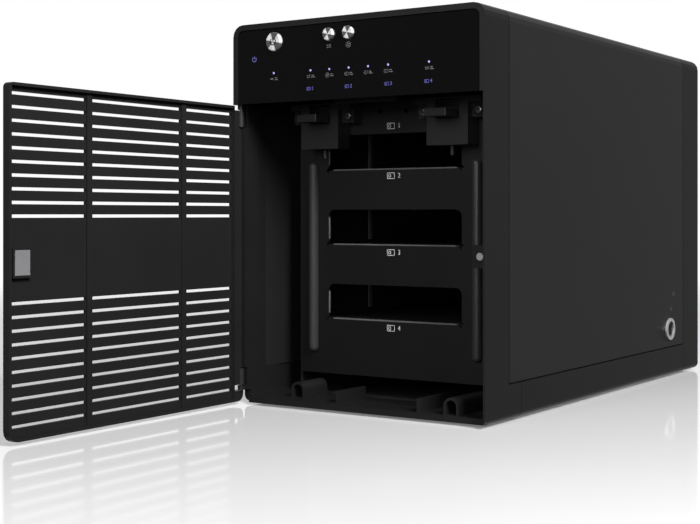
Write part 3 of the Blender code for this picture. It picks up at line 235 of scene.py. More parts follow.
def powder_coat(name, colour, roughness, fleck):
    """Satin powder coat on sheet metal: orange peel, tiny flecks and handling marks."""
    f = Finish(name)
    peel = f.noise(0.6 / fleck, 3.0, 0.55)
    speck = f.noise(3.0 / fleck, 1.0, 0.5)
    cloud = f.noise(15.0, 5.0, 0.6)
    tone = peel * 0.3 + speck * 0.3 + cloud * 0.4
    return f.set(Base_Color=tone.shade(tinted(colour, 0.72), tinted(colour, 1.35)),
                 Roughness=cloud * 0.14 + speck * 0.06 + (roughness - 0.1),
                 Normal=f.bump(peel * 0.7 + speck * 0.3, 0.16, 0.00008),
                 Specular_IOR_Level=0.42)


def plate_coat(name, colour):
    """Powder coat on the drive cover, smoother on its two round rods, whose colour is made far
    brighter there as a painted highlight.
    """
    f = Finish(name)
    peel = f.noise(760.0, 3.0, 0.55)
    cloud = f.noise(15.0, 5.0, 0.6)
    rod = (abs(abs(f.axis(0)) - ROD_PLACE) < ROD_REACH) * (f.axis(1) < ROD_SURFACE)
    tone = peel * 0.5 + cloud * 0.5
    base = tone.shade(tinted(colour, 0.75), tinted(colour, 1.3))
    # Painted highlight: the rods take seven to ten times the plate's colour.
    rod_painted_highlight = tone.shade(tinted(colour, 7.0), tinted(colour, 10.0))
    return f.set(Base_Color=f.start.node("ShaderNodeMix", {"data_type": "RGBA"},
                                         {0: rod, 6: base, 7: rod_painted_highlight}, out=2),
                 Roughness=cloud * 0.14 + 0.34 - rod * 0.1,
                 Normal=f.bump(peel, 0.16, 0.00008), Specular_IOR_Level=0.45)


def piano_gloss(name, colour):
    """Clear-topped piano gloss with hairline wiping marks and a trace of dust."""
    f = Finish(name)
    wipe = f.start.node("ShaderNodeMapping", None,
                        {"Vector": f.place, "Scale": (60.0, 400.0, 1500.0),
                         "Rotation": (0.0, 0.3, 0.0)})
    hair = f.start.node("ShaderNodeTexNoise", None,
                        {"Vector": wipe, "Scale": 1.0, "Detail": 3.0, "Roughness": 0.5})
    dust = (f.noise(5200.0, 1.0) > 0.77) * 0.5
    cloud = f.noise(30.0, 3.0)
    return f.set(Base_Color=dust.shade(tinted(colour), tinted(colour, 3.0)),
                 Roughness=hair * 0.05 + cloud * 0.05 + dust * 0.1 + 0.03,
                 Normal=f.bump(hair, 0.03, 0.00002),
                 Coat_Weight=0.25 - dust * 0.2, Coat_Roughness=0.04,
                 Specular_IOR_Level=0.3)


def turned_metal(name, centre, colour):
    """A face turned on a lathe: fine rings, and broad light and dark wedges of painted reflection by
    angle round the centre.
    """
    f = Finish(name, centre)
    across, up = f.axis(0), f.axis(2)
    reach = (across * across + up * up) ** 0.5
    turn = f.start.maths("ARCTAN2", up, across)
    # Painted reflection: the wedges and the finer five-lobed fan brighten and darken the base colour
    # by angle round the centre.
    painted_reflection_wedge = f.start.maths("MAXIMUM", f.start.maths(
        "MINIMUM", f.start.maths("SINE", turn * 3.0 + 0.6) * 2.0 + 0.45, 1.0), 0.0)
    fan = f.start.maths("SINE", turn * 5.0 + 2.0) * 0.5 + 0.5
    rings = f.start.node("ShaderNodeTexNoise", {"noise_dimensions": "1D"},
                         {"W": reach, "Scale": 9000.0, "Detail": 2.0})
    tone = painted_reflection_wedge * (fan * 0.35 + 0.7) + rings * 0.12
    return f.set(Base_Color=tone.shade(tinted(colour, 0.06), tinted(colour, 1.16)),
                 Metallic=0.15, Roughness=rings * 0.14 + 0.22,
                 Normal=f.bump(rings, 0.25, 0.00003))


def plated_steel(name, colour, roughness=0.3, brush=(1.0, 1.0, 14.0), metal=1.0):
    """Plated steel with a soft brushing and small stains."""
    f = Finish(name)
    lie = f.start.node("ShaderNodeMapping", None, {"Vector": f.place, "Scale": brush})
    line = f.start.node("ShaderNodeTexNoise", None,
                        {"Vector": lie, "Scale": 420.0, "Detail": 3.0, "Roughness": 0.6})
    stain = f.noise(160.0, 4.0, 0.6)
    tone = line * 0.5 + stain * 0.5
    return f.set(Base_Color=tone.shade(tinted(colour, 0.7), tinted(colour, 1.2)),
                 Metallic=metal, Roughness=line * 0.16 + stain * 0.12 + (roughness - 0.14),
                 Normal=f.bump(line, 0.12, 0.00004))


def board_mask(name):
    """Circuit board: green mask over darker copper runs, with fine weave under it."""
    f = Finish(name)
    across, deep, up = f.axis(0), f.axis(1), f.axis(2)
    wander = f.noise(90.0, 0.0) * 0.004
    runs = (f.start.maths("FRACT", (up + wander) * 420.0) > 0.62) * \
           (f.start.maths("FRACT", (across + deep + wander) * 95.0) > 0.2)
    weave = f.noise(2600.0, 2.0)
    tone = runs * 0.6 + weave * 0.4
    return f.set(Base_Color=tone.shade((0.004, 0.035, 0.014, 1.0), (0.012, 0.105, 0.036, 1.0)),
                 Roughness=weave * 0.15 + 0.28, Normal=f.bump(runs * 0.5 + weave * 0.2, 0.2, 0.00006))


def soft_rubber(name, colour):
    """Matt rubber: a fine grain with dust lying on it."""
    f = Finish(name)
    grain = f.noise(1800.0, 3.0, 0.7)
    dust = f.noise(70.0, 5.0, 0.6)
    return f.set(Base_Color=(grain * 0.4 + dust * 0.6).shade(tinted(colour, 0.7), tinted(colour, 1.9)),
                 Roughness=dust * 0.15 + 0.72, Normal=f.bump(grain, 0.3, 0.00008),
                 Specular_IOR_Level=0.3)


def printed_ink(name, colour):
    """Screen-printed ink: even colour with the slight mottle of the mesh it came through."""
    f = Finish(name)
    mottle = f.noise(5000.0, 2.0)
    return f.set(Base_Color=mottle.shade(tinted(colour, 0.8), tinted(colour, 1.15)),
                 Roughness=mottle * 0.2 + 0.4, Normal=f.bump(mottle, 0.1, 0.00002))


def lit_lens(name, colour, strength):
    """A lamp's lit lens, or ink given a painted glow: an even glow with a faint mottle."""
    f = Finish(name)
    glow = f.noise(2500.0, 1.0)
    return f.set(Base_Color=tinted(colour, 0.6), Roughness=glow * 0.1 + 0.2,
                 Emission_Color=glow.shade(tinted(colour, 0.75), tinted(colour, 1.2)),
                 Emission_Strength=strength)


def clear_guide(name):
    """Clear plastic with faint flow marks."""
    f = Finish(name)
    flow = f.noise(300.0, 2.0)
    return f.set(Base_Color=flow.shade((0.55, 0.58, 0.68, 1.0), (0.8, 0.84, 0.95, 1.0)),
                 Roughness=flow * 0.1 + 0.12, Transmission_Weight=0.6, IOR=1.49)


# ---------------------------------------------------------------- shapes

def block(shape, low, high, edge=0.0, steps=2):
    """A box between two corners with its edges rounded off."""
    low, high = Vector(low), Vector(high)
    size = high - low
    made = bmesh.ops.create_cube(shape, size=1.0, matrix=Matrix.Translation((low + high) / 2)
                                 @ Matrix.Diagonal((*size, 1.0)))["verts"]
    if edge > 0:
        edges = {e for v in made for e in v.link_edges}
        bmesh.ops.bevel(shape, geom=list(edges), offset=edge, offset_type="OFFSET", segments=steps,
                        profile=0.5, affect="EDGES", material=-1, clamp_overlap=True)


def drum(shape, centre, axis, radius, length, edge=0.0, sides=32, taper=None):
    """A round bar along an axis with its rims rounded off."""
    turn = Vector((0, 0, 1)).rotation_difference(Vector(axis)).to_matrix().to_4x4()
    made = bmesh.ops.create_cone(shape, cap_ends=True, segments=sides, radius1=radius,
                                 radius2=radius if taper is None else taper, depth=length,
                                 matrix=Matrix.Translation(centre) @ turn)["verts"]
    if edge > 0:
        rims = {e for v in made for e in v.link_edges
                if len(e.link_faces) == 2 and any(len(f.verts) > 4 for f in e.link_faces)}
        bmesh.ops.bevel(shape, geom=list(rims), offset=edge, offset_type="OFFSET", segments=2,
                        profile=0.5, affect="EDGES", material=-1, clamp_overlap=True)


def loop(shape, radius, width, height, turn=2 * math.pi, start=0.0, matrix=Matrix(), steps=32):
    """A flat ring, or part of one, standing on the across-up plane."""
    inner, outer = radius - width / 2, radius + width / 2
    corners = [(inner, 0.0), (outer, 0.0), (outer, height), (inner, height)]
    line = Matrix.Rotation(start, 4, "Z")
    verts = [shape.verts.new(line @ Vector((r, 0.0, h))) for r, h in corners]
    full = turn > 6.28
    if full:
        edges = [shape.edges.new((verts[i], verts[(i + 1) % 4])) for i in range(4)]
        geom = verts + edges
    else:
        face = shape.faces.new(verts)
        geom = [face] + verts + list(face.edges)
    before = set(shape.verts)
    bmesh.ops.spin(shape, geom=geom, cent=(0, 0, 0), axis=(0, 0, 1), angle=turn, steps=steps,
                   use_merge=full, use_duplicate=False)
    made = [v for v in shape.verts if v not in before] + [v for v in verts if v.is_valid]
    bmesh.ops.transform(shape, matrix=matrix, verts=made)


def numeral(shape, text, height, thick, matrix):
    """Adds a numeral as a thin solid."""
    curve = bpy.data.curves.new("numeral", "FONT")
    curve.body, curve.size, curve.extrude = text, height * 1.38, thick / 2
    curve.align_x, curve.align_y, curve.resolution_u = "CENTER", "CENTER", 3
    writing = bpy.data.objects.new("numeral", curve)
    bpy.context.scene.collection.objects.link(writing)
    mesh = bpy.data.meshes.new_from_object(
        writing.evaluated_get(bpy.context.evaluated_depsgraph_get()))
    mesh.transform(matrix @ Matrix.Translation((0, 0, thick / 2)))
    shape.from_mesh(mesh)
    bpy.data.objects.remove(writing)
    bpy.data.curves.remove(curve)
    bpy.data.meshes.remove(mesh)


def place_on(face, across, depth, up):
    """The matrix that lays a mark on one of the housing's faces."""
    return Matrix.Translation((across, depth, up)) @ face


def flat_box(shape, matrix, low, high, thick):
    """A thin printed rectangle between two corners of the mark's own plane."""
    middle = Vector(((low[0] + high[0]) / 2, (low[1] + high[1]) / 2, thick / 2))
    size = Vector((high[0] - low[0], high[1] - low[1], thick))
    bmesh.ops.create_cube(shape, size=1.0, matrix=matrix @ Matrix.Translation(middle)
                          @ Matrix.Diagonal((*size, 1.0)))


def drive_mark(shape, matrix, width, thick):
    """A small drive seen from above: an outlined box with a disc in it."""
    w, h, line = width / 2, width * 0.34, width * 0.07
    flat_box(shape, matrix, (-w, -h), (w, -h + line), thick)
    flat_box(shape, matrix, (-w, h - line), (w, h), thick)
    flat_box(shape, matrix, (-w, -h), (-w + line, h), thick)
    flat_box(shape, matrix, (w - line, -h), (w, h), thick)
    loop(shape, h * 0.45, line, thick, matrix=matrix @ Matrix.Translation((-w * 0.3, 0, 0)), steps=16)


def arrows_mark(shape, matrix, width, thick):
    """Two arrows that point past each other."""
    w, line = width / 2, width * 0.1
    for way in (1, -1):
        lie = matrix @ Matrix.Rotation(0 if way > 0 else math.pi, 4, "Z") \
            @ Matrix.Translation((0, width * 0.17, 0))
        flat_box(shape, lie, (-w, -line / 2), (w * 0.4, line / 2), thick)
        bmesh.ops.create_cone(shape, cap_ends=True, segments=3, radius1=line * 1.9,
                              radius2=line * 1.9, depth=thick,
                              matrix=lie @ Matrix.Translation((w * 0.5, 0, thick / 2)))


def fan_mark(shape, matrix, width, thick):
    """A hub with four short blades inside a ring."""
    loop(shape, width * 0.46, width * 0.07, thick, matrix=matrix, steps=20)
    for quarter in range(4):
        lie = matrix @ Matrix.Rotation(quarter * math.pi / 2 + 0.4, 4, "Z")
        flat_box(shape, lie, (width * 0.06, -width * 0.05), (width * 0.36, width * 0.09), thick)


def plug_mark(shape, matrix, width, thick):
    """A plug: a body with two prongs and a short tail."""
    w = width / 2
    flat_box(shape, matrix, (-w * 0.5, -w * 0.35), (w * 0.3, w * 0.35), thick)
    for side in (-1, 1):
        flat_box(shape, matrix, (w * 0.3, side * w * 0.2 - w * 0.07),
                 (w * 0.8, side * w * 0.2 + w * 0.07), thick)
    flat_box(shape, matrix, (-w, -w * 0.08), (-w * 0.5, w * 0.08), thick)


def power_mark(shape, matrix, width, thick, line=0.12):
    """The usual open ring with an upright bar."""
    gap = 0.62
    loop(shape, width * 0.42, width * line, thick, turn=2 * math.pi - 2 * gap,
         start=math.pi / 2 + gap, matrix=matrix, steps=24)
    flat_box(shape, matrix, (-width * line / 2, width * 0.06), (width * line / 2, width * 0.52), thick)


def padlock_mark(shape, matrix, width, thick, lifted):
    """A padlock, shut or open."""
    w = width / 2
    flat_box(shape, matrix, (-w, -w), (w, w * 0.35), thick)
    top = w * (0.75 if lifted else 0.35)
    shift = w * (0.8 if lifted else 0.0)
    loop(shape, w * 0.62, w * 0.24, thick, turn=math.pi, start=0.0,
         matrix=matrix @ Matrix.Translation((shift, top, 0)), steps=12)
    flat_box(shape, matrix, (shift - w * 0.74, w * 0.3), (shift - w * 0.5, top), thick)
    if not lifted:
        flat_box(shape, matrix, (w * 0.5, w * 0.3), (w * 0.74, top), thick)


def finish_piece(name, shape, material, body, smooth=True):
    """Turns a shape into a piece that rides on a body and wears the given finish."""
    bmesh.ops.remove_doubles(shape, verts=shape.verts, dist=1e-7)
    bmesh.ops.recalc_face_normals(shape, faces=shape.faces)
    mesh = bpy.data.meshes.new(name)
    shape.to_mesh(mesh)
    shape.free()
    if smooth:
        mesh.shade_smooth()
        mesh.set_sharp_from_angle(angle=math.radians(35))
    piece = bpy.data.objects.new(name, mesh)
    bpy.context.scene.collection.objects.link(piece)
    mesh.materials.append(material)
    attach(piece, body)
    return piece


def numbered(stem):
    """The names of the four like pieces that share a stem."""
    return [f"{stem}_{number}" for number in range(1, 5)]


def coat(material, *nodes):
    """Gives a finish to the frame's own pieces."""
    for node in nodes:
        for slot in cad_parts[node].material_slots:
            slot.material = material


# ---------------------------------------------------------------- sizes and colours

class EnclosureLooks(bpy.types.PropertyGroup):
    """The sizes, colours and lights that a user may change"""
    plastic: bpy.props.FloatVectorProperty(
        name="Plastic", description="Colour of the moulded frame", subtype="COLOR",
        default=(0.0095, 0.0095, 0.0099))
    inner_plastic: bpy.props.FloatVectorProperty(
        name="Latch plastic", description="Colour of the latches, a little lighter", subtype="COLOR",
        default=(0.02, 0.02, 0.0206))
    sheet: bpy.props.FloatVectorProperty(
        name="Cover sheet", description="Colour of the coated wrap-round cover", subtype="COLOR",
        default=(0.015, 0.015, 0.0155))
    plate: bpy.props.FloatVectorProperty(
        name="Drive cover", description="Colour of the coated plate before the bays",
        subtype="COLOR", default=(0.0045, 0.0045, 0.0047))
    lamp: bpy.props.FloatVectorProperty(
        name="Lamps", description="Colour of the lit status lamps", subtype="COLOR",
        default=(0.42, 0.4, 0.85))
    grain: bpy.props.FloatProperty(
        name="Plastic grain", description="Size of the moulded grain", default=0.00035,
        min=0.0001, max=0.002, unit="LENGTH", subtype="DISTANCE")
    print_thick: bpy.props.FloatProperty(
        name="Print thickness", description="How far printed marks stand off their face",
        default=0.00003, min=0.00001, max=0.0002, unit="LENGTH", subtype="DISTANCE")
    lamp_radius: bpy.props.FloatProperty(
        name="Lamp radius", description="Radius of a status lamp's lens", default=0.00048,
        min=0.0002, max=0.002, unit="LENGTH", subtype="DISTANCE")
    lip_depth: bpy.props.FloatProperty(
        name="Window lip", description="How far the folded lip of a window runs back",
        default=0.0026, min=0.001, max=0.004, unit="LENGTH", subtype="DISTANCE")
    key_power: bpy.props.FloatProperty(
        name="Key light", description="Power of the soft light at the upper right", default=21.0,
        min=0.0, max=400.0, unit="POWER")
    fill_power: bpy.props.FloatProperty(
        name="Fill light", description="Power of the light before the front", default=7.0,
        min=0.0, max=400.0, unit="POWER")
    backdrop: bpy.props.FloatProperty(
        name="Backdrop", description="Brightness of the plain backdrop", default=1.0,
        min=0.0, max=4.0, subtype="FACTOR")


def looks():
    return bpy.context.scene.enclosure_looks


class ENCLOSURE_OT_stage(bpy.types.Operator):
    """Make the pale floor, the soft studio lights and the camera"""
    bl_idname = "enclosure.stage"
    bl_label = "Studio and camera"

    def soft_light(self, name, place, aim, size, power):
        lamp = bpy.data.lights.new(name, "AREA")
        lamp.shape, lamp.size, lamp.size_y, lamp.energy = "RECTANGLE", size[0], size[1], power
        holder = bpy.data.objects.new(name, lamp)
        holder.location = place
        holder.rotation_euler = (Vector(aim) - Vector(place)).to_track_quat("-Z", "Y").to_euler()
        bpy.context.scene.collection.objects.link(holder)

    def disc(self, name, radius, height):
        shape = bmesh.new()
        bmesh.ops.create_circle(shape, cap_ends=True, segments=96, radius=radius,
                                matrix=Matrix.Translation((0, 0, height)))
        mesh = bpy.data.meshes.new(name)
        shape.to_mesh(mesh)
        shape.free()
        floor = bpy.data.objects.new(name, mesh)
        bpy.context.scene.collection.objects.link(floor)
        return floor

    def floors(self):
        """A glossy floor that fades out into a plain white one."""
        near = self.disc("studio_floor", NEAR_FLOOR, CAD_LOW.z)
        f = Finish("studio_floor_gloss")
        haze = f.noise(6.0, 3.0)
        reach = (f.axis(0) * f.axis(0) + f.axis(1) * f.axis(1)) ** 0.5
        near.data.materials.append(f.set(
            Base_Color=haze.shade(grey(0.93), grey(0.96)), Roughness=haze * 0.03 + 0.05,
            Emission_Color=haze.shade(grey(0.97), grey(1.0)), Emission_Strength=0.1,
            Specular_IOR_Level=0.6))
        f.fade_out(f.start.node("ShaderNodeMapRange", {"interpolation_type": "SMOOTHSTEP"},
                                {0: reach, 1: 0.45, 2: 1.25, 3: 0.0, 4: 1.0}))
        near.visible_diffuse = near.visible_glossy = False
        far = self.disc("studio_floor_far", FAR_FLOOR, CAD_LOW.z - 0.0005)
        f = Finish("studio_floor_white")
        haze = f.noise(2.0, 1.0)
        far.data.materials.append(f.set(
            Base_Color=haze.shade(grey(0.0), grey(0.01)), Roughness=haze * 0.05 + 0.9,
            Emission_Color=haze.shade(grey(0.99), grey(1.0)), Emission_Strength=1.0))
        far.visible_glossy = far.visible_diffuse = far.visible_shadow = False

    def air(self, scene, backdrop):
        """A plain backdrop, and a dimmer sky that lights the pieces from behind and the left."""
        world = bpy.data.worlds.new("studio_air")
        scene.world = world
        world.use_nodes = True
        tree = world.node_tree
        tree.nodes.clear()
        start = Field(tree)
        seen = start.node("ShaderNodeLightPath")
        sky = start.node("ShaderNodeTexCoord", out=0)
        way = start.node("ShaderNodeSeparateXYZ", None, {0: sky}, out=1)
        side = start.node("ShaderNodeSeparateXYZ", None, {0: sky}, out=0)
        up = start.node("ShaderNodeSeparateXYZ", None, {0: sky}, out=2)
        behind = start.node("ShaderNodeMapRange", None,
                            {0: way, 1: -0.2, 2: 0.7, 3: 0.1, 4: 0.75})
        high = start.node("ShaderNodeMapRange", None, {0: up, 1: 0.15, 2: 0.8, 3: 1.0, 4: 0.3})
        flag = start.node("ShaderNodeMapRange", None, {0: side, 1: -0.15, 2: 0.4, 3: 1.0, 4: 0.1})
        strength = seen * backdrop + (1.0 - seen) * behind * high * flag
        light = tree.nodes.new("ShaderNodeBackground")
        tree.links.new(strength.socket, light.inputs["Strength"])
        light.inputs["Color"].default_value = grey(1.0)
        output = tree.nodes.new("ShaderNodeOutputWorld")
        tree.links.new(light.outputs[0], output.inputs[0])

    def camera(self, scene):
        camera = bpy.data.cameras.new("studio_camera")
        camera.lens, camera.sensor_width = CAMERA_LENS, 36.0
        camera.shift_x, camera.shift_y = CAMERA_SHIFT
        camera.clip_start, camera.clip_end = 0.01, 60.0
        holder = bpy.data.objects.new("studio_camera", camera)
        holder.location = CAMERA_PLACE
        holder.rotation_euler = (math.radians(90), 0.0, math.radians(CAMERA_TURN))
        scene.collection.objects.link(holder)
        scene.camera = holder
        scene.view_settings.view_transform = "Standard"

    def execute(self, context):
        given = looks()
        self.floors()
        self.air(context.scene, given.backdrop)
        self.soft_light("key_light", (0.95, -0.5, 0.75), (0.05, -0.08, 0.14), (0.45, 0.45),
                        given.key_power)
        self.soft_light("front_light", (0.0, -1.5, 0.65), (0, -0.1, 0.07), (0.5, 0.9),
                        given.fill_power)
        self.soft_light("door_light", (0.55, -1.0, 0.25), (-0.06, -0.18, 0.08), (0.3, 0.5),
                        given.fill_power * 0.25)
        self.camera(context.scene)
        return {"FINISHED"}


class ENCLOSURE_OT_frame_finishes(bpy.types.Operator):
    """Give every piece of the frame its own finish"""
    bl_idname = "enclosure.frame_finishes"
    bl_label = "Frame finishes"

    def execute(self, context):
        given = looks()
        plastic, inner, sheet = given.plastic, given.inner_plastic, given.sheet
        coat(moulded_plastic("moulded_frame", plastic, 0.42, given.grain),
             "front_bezel", "rear_frame", "base_tray", "magnet_holder")
        coat(moulded_plastic("moulded_door", [c * 1.25 for c in plastic], 0.45, given.grain), "door")
        coat(moulded_plastic("latch_plastic", inner, 0.4, given.grain * 0.8),
             "latch_body_left", "latch_body_right", "latch_slider_left", "latch_slider_right")
        coat(moulded_plastic("fan_plastic", [c * 1.4 for c in plastic], 0.38, given.grain),
             "fan_frame", "fan_rotor", "power_inlet", *numbered("drive_socket"))
        coat(powder_coat("cover_coat", sheet, 0.4, 0.0009), "wrap_cover")
        coat(plate_coat("plate_coat", given.plate), "drive_cover")
        coat(powder_coat("inner_coat", [c * 0.9 for c in sheet], 0.45, 0.0009), "rear_panel",
             "cage_side_left", "cage_side_right", "cage_lid", *numbered("bay_shelf"))
        coat(piano_gloss("panel_gloss", (0.0022, 0.0022, 0.0026)), "fascia")
        coat(clear_guide("light_guide"), "light_pipe")
        coat(board_mask("board_mask"), "front_board", "main_board", "backplane_board")
        for node in ("power_button", "sync_button", "speed_button"):
            low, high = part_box(node)
            coat(turned_metal("turned_" + node, (low + high) / 2, (0.86, 0.86, 0.88)), node)
        coat(plated_steel("screw_steel", (0.3, 0.3, 0.31), 0.34),
             *numbered("panel_screw"), *numbered("fan_screw"), "hinge_pin_top", "hinge_pin_bottom")
        coat(plated_steel("black_screw_steel", (0.06, 0.06, 0.063), 0.36),
             "latch_screw_left_1", "latch_screw_left_2",
             "latch_screw_right_1", "latch_screw_right_2")
        coat(plated_steel("strike_steel", (0.3, 0.3, 0.31), 0.42, metal=0.25), "door_strike")
        coat(plated_steel("magnet_nickel", (0.62, 0.62, 0.64), 0.3, metal=0.3), "catch_magnet")
        coat(plated_steel("lock_chrome", (0.9, 0.9, 0.92), 0.16, metal=0.6), "lock_ring")
        coat(plated_steel("lock_core_steel", (0.12, 0.12, 0.125), 0.3), "lock_barrel")
        coat(plated_steel("guard_wire", (0.5, 0.5, 0.51), 0.25, (1, 1, 1)), "fan_guard")
        coat(plated_steel("socket_shell", (0.55, 0.55, 0.54), 0.28), "data_socket")
        coat(soft_rubber("foot_rubber_finish", (0.012, 0.012, 0.012)), *numbered("foot"))
        return {"FINISHED"}


class ENCLOSURE_OT_panel_marks(bpy.types.Operator):
    """Print the small marks on the gloss control panel"""
    bl_idname = "enclosure.panel_marks"
    bl_label = "Panel marks"

    def execute(self, context):
        thick = looks().print_thick
        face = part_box("fascia")[0].y
        pale = bmesh.new()
        marks = (plug_mark, arrows_mark, fan_mark, drive_mark, drive_mark, drive_mark, arrows_mark)
        for across, mark in zip(LAMP_PLACES, marks):
            mark(pale, place_on(ON_FRONT, across - 0.001, face, LAMP_SIGN_ROW), 0.0022, thick)
            lines = place_on(ON_FRONT, across + 0.0015, face, LAMP_SIGN_ROW)
            flat_box(pale, lines, (-0.0009, -0.0006), (0.0009, -0.0002), thick)
            flat_box(pale, lines, (-0.0009, 0.0002), (0.0004, 0.0006), thick)
        for across, mark in zip(KEY_SIGN_PLACES, (arrows_mark, fan_mark)):
            mark(pale, place_on(ON_FRONT, across, face, KEY_SIGN_ROW), 0.0027, thick)
        finish_piece("panel_print_grey", pale, printed_ink("grey_ink", (0.16, 0.16, 0.17)),
                     "housing", smooth=False)
        tint = bmesh.new()
        for bay, across in enumerate(BAY_MARK_PLACES, 1):
            drive_mark(tint, place_on(ON_FRONT, across - 0.0009, face, BAY_MARK_ROW), 0.0021, thick)
            numeral(tint, str(bay), 0.0016, thick,
                    place_on(ON_FRONT, across + 0.0013, face, BAY_MARK_ROW))
        power_mark(tint, place_on(ON_FRONT, POWER_SIGN_PLACE, face, POWER_SIGN_ROW), 0.0026, thick)
        # The violet print is ink, yet it glows: painted light.
        finish_piece("panel_print_violet", tint,
                     lit_lens("violet_ink", (0.2, 0.19, 0.6), 0.3), "housing",
                     smooth=False)
        return {"FINISHED"}


class ENCLOSURE_OT_status_lamps(bpy.types.Operator):
    """Set the row of lit status lamps into the control panel"""
    bl_idname = "enclosure.status_lamps"
    bl_label = "Status lamps"

    def execute(self, context):
        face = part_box("fascia")[0].y
        radius = looks().lamp_radius
        shape = bmesh.new()
        for across in LAMP_PLACES:
            bmesh.ops.create_uvsphere(
                shape, u_segments=20, v_segments=10, radius=radius,
                matrix=Matrix.Translation((across, face, LAMP_ROW)) @ Matrix.Diagonal((1, 0.35, 1, 1)))
        finish_piece("status_lamps", shape, lit_lens("lamp_lens", looks().lamp, 0.75),
                     "housing")
        return {"FINISHED"}


class ENCLOSURE_OT_key_glyph(bpy.types.Operator):
    """Print the power sign on the large key"""
    bl_idname = "enclosure.key_glyph"
    bl_label = "Key sign"

    def execute(self, context):
        ink = printed_ink("engraved_black", (0.012, 0.012, 0.013))
        low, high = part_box("power_button")
        shape = bmesh.new()
        power_mark(shape, place_on(ON_FRONT, (low.x + high.x) / 2, low.y, (low.z + high.z) / 2),
                   0.0036, looks().print_thick, 0.13)
        finish_piece("power_key_sign", shape, ink, "power_key", smooth=False)
        return {"FINISHED"}


class ENCLOSURE_OT_bay_labels(bpy.types.Operator):
    """Print a drive sign and a numeral above each bay"""
    bl_idname = "enclosure.bay_labels"
    bl_label = "Bay labels"

    def execute(self, context):
        thick = looks().print_thick
        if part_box("drive_cover")[0].y > PLATE_FRONT + 1e-4:
            raise RuntimeError("the drive cover has moved away from its labels")
        shape = bmesh.new()
        for bay, height in enumerate(BAY_LABEL_HEIGHTS, 1):
            drive_mark(shape, place_on(ON_FRONT, -0.0012, PLATE_FRONT, height), 0.0042, thick)
            numeral(shape, str(bay), 0.0023, thick, place_on(ON_FRONT, 0.0033, PLATE_FRONT, height))
        finish_piece("bay_labels", shape, printed_ink("white_ink", (0.85, 0.85, 0.85)),
                     "housing", smooth=False)
        return {"FINISHED"}


class ENCLOSURE_OT_window_lips(bpy.types.Operator):
    """Fold a lip back along each window's lower edge and a narrow one up its left side"""
    bl_idname = "enclosure.window_lips"
    bl_label = "Window lips"

    def execute(self, context):
        reach = WINDOW_HALF - 0.0026
        shape = bmesh.new()
        for floor in WINDOW_FLOORS:
            block(shape, (-reach, PLATE_FRONT - 0.0001, floor - 0.0003),
                  (reach, PLATE_FRONT + looks().lip_depth, floor + 0.0005), 0.00034, 3)
            block(shape, (-WINDOW_HALF - 0.0001, PLATE_FRONT + 0.0001, floor + 0.0026),
                  (-WINDOW_HALF + 0.0003, PLATE_FRONT + 0.0011, floor + 0.0128), 0.0001)
        # The lips take thirty times the plate's colour: a painted highlight along the folded edges.
        finish_piece("window_lips", shape,
                     powder_coat("lip_painted_highlight", [c * 30 for c in looks().plate], 0.26, 0.0008),
                     "housing")
        return {"FINISHED"}


class ENCLOSURE_OT_seam_strips(bpy.types.Operator):
    """Set the inner strips that close the seam between the cover and the tray"""
    bl_idname = "enclosure.seam_strips"
    bl_label = "Seam strips"

    def execute(self, context):
        shape = bmesh.new()
        for side in (-1, 1):
            near, far = sorted(side * across for across in STRIP_SIDES)
            block(shape, (near, STRIP_DEPTHS[0], STRIP_HEIGHTS[0]),
                  (far, STRIP_DEPTHS[1], STRIP_HEIGHTS[1]), 0.00012)
        finish_piece("seam_strips", shape,
                     moulded_plastic("strip_plastic", looks().plastic, 0.45, looks().grain),
                     "housing")
        return {"FINISHED"}


class ENCLOSURE_OT_latch_screws(bpy.types.Operator):
    """Put a domed, cross-slotted head on each of the latch screws"""
    bl_idname = "enclosure.latch_screws"
    bl_label = "Latch screw heads"

    def execute(self, context):
        heads, crosses, rims = bmesh.new(), bmesh.new(), bmesh.new()
        for number, side in enumerate(("left_1", "left_2", "right_1", "right_2")):
            low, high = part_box("latch_screw_" + side)
            x, y, z = (low.x + high.x) / 2, low.y, (low.z + high.z) / 2
            drum(heads, (x, y - 0.00012, z), (0, -1, 0), SCREW_HEAD_RADIUS, 0.0006, 0.0002, 28,
                 SCREW_HEAD_TOP)
            for turn in (0.0, math.pi / 2):
                lie = place_on(ON_FRONT, x, y - 0.0004, z) @ Matrix.Rotation(
                    turn + 0.5 + number, 4, "Z")
                flat_box(crosses, lie, (-SCREW_CROSS_HALF, -SCREW_CROSS_WIDTH / 2),
                         (SCREW_CROSS_HALF, SCREW_CROSS_WIDTH / 2), 0.00004)
            loop(rims, SCREW_RIM_RADIUS, 0.0004, 0.0002,
                 matrix=place_on(ON_FRONT, x, y + 0.0002, z), steps=28)
        finish_piece("latch_screw_heads", heads,
                     plated_steel("screw_head_steel", (0.3, 0.3, 0.31), 0.36), "housing")
        # The crosses are flat dark sheets: painted shade standing for the recessed slots.
        finish_piece("latch_screw_slots", crosses,
                     printed_ink("slot_shadow", (0.008, 0.008, 0.008)), "housing",
                     smooth=False)
        finish_piece("latch_screw_rims", rims,
                     moulded_plastic("rim_plastic", looks().inner_plastic, 0.4, looks().grain),
                     "housing")
        return {"FINISHED"}


class ENCLOSURE_OT_cage_beads(bpy.types.Operator):
    """Press a stiffening bead into each side of the cage, bay by bay"""
    bl_idname = "enclosure.cage_beads"
    bl_label = "Cage beads"

    def execute(self, context):
        shape = bmesh.new()
        for bay in range(BAY_COUNT):
            floor = BAY_FLOOR + bay * BAY_PITCH
            for side in (-1, 1):
                near, far = sorted((side * (CAGE_HALF - 0.0006), side * (CAGE_HALF + 0.0002)))
                block(shape, (near, -0.0335, floor + 0.0015), (far, -0.0305, floor + 0.0315),
                      0.00025, 3)
        # The beads take eight times the sheet's colour: a painted highlight on their edges.
        finish_piece("cage_beads", shape,
                     powder_coat("bead_painted_highlight", [c * 8 for c in looks().sheet], 0.3, 0.0009),
                     "housing")
        return {"FINISHED"}


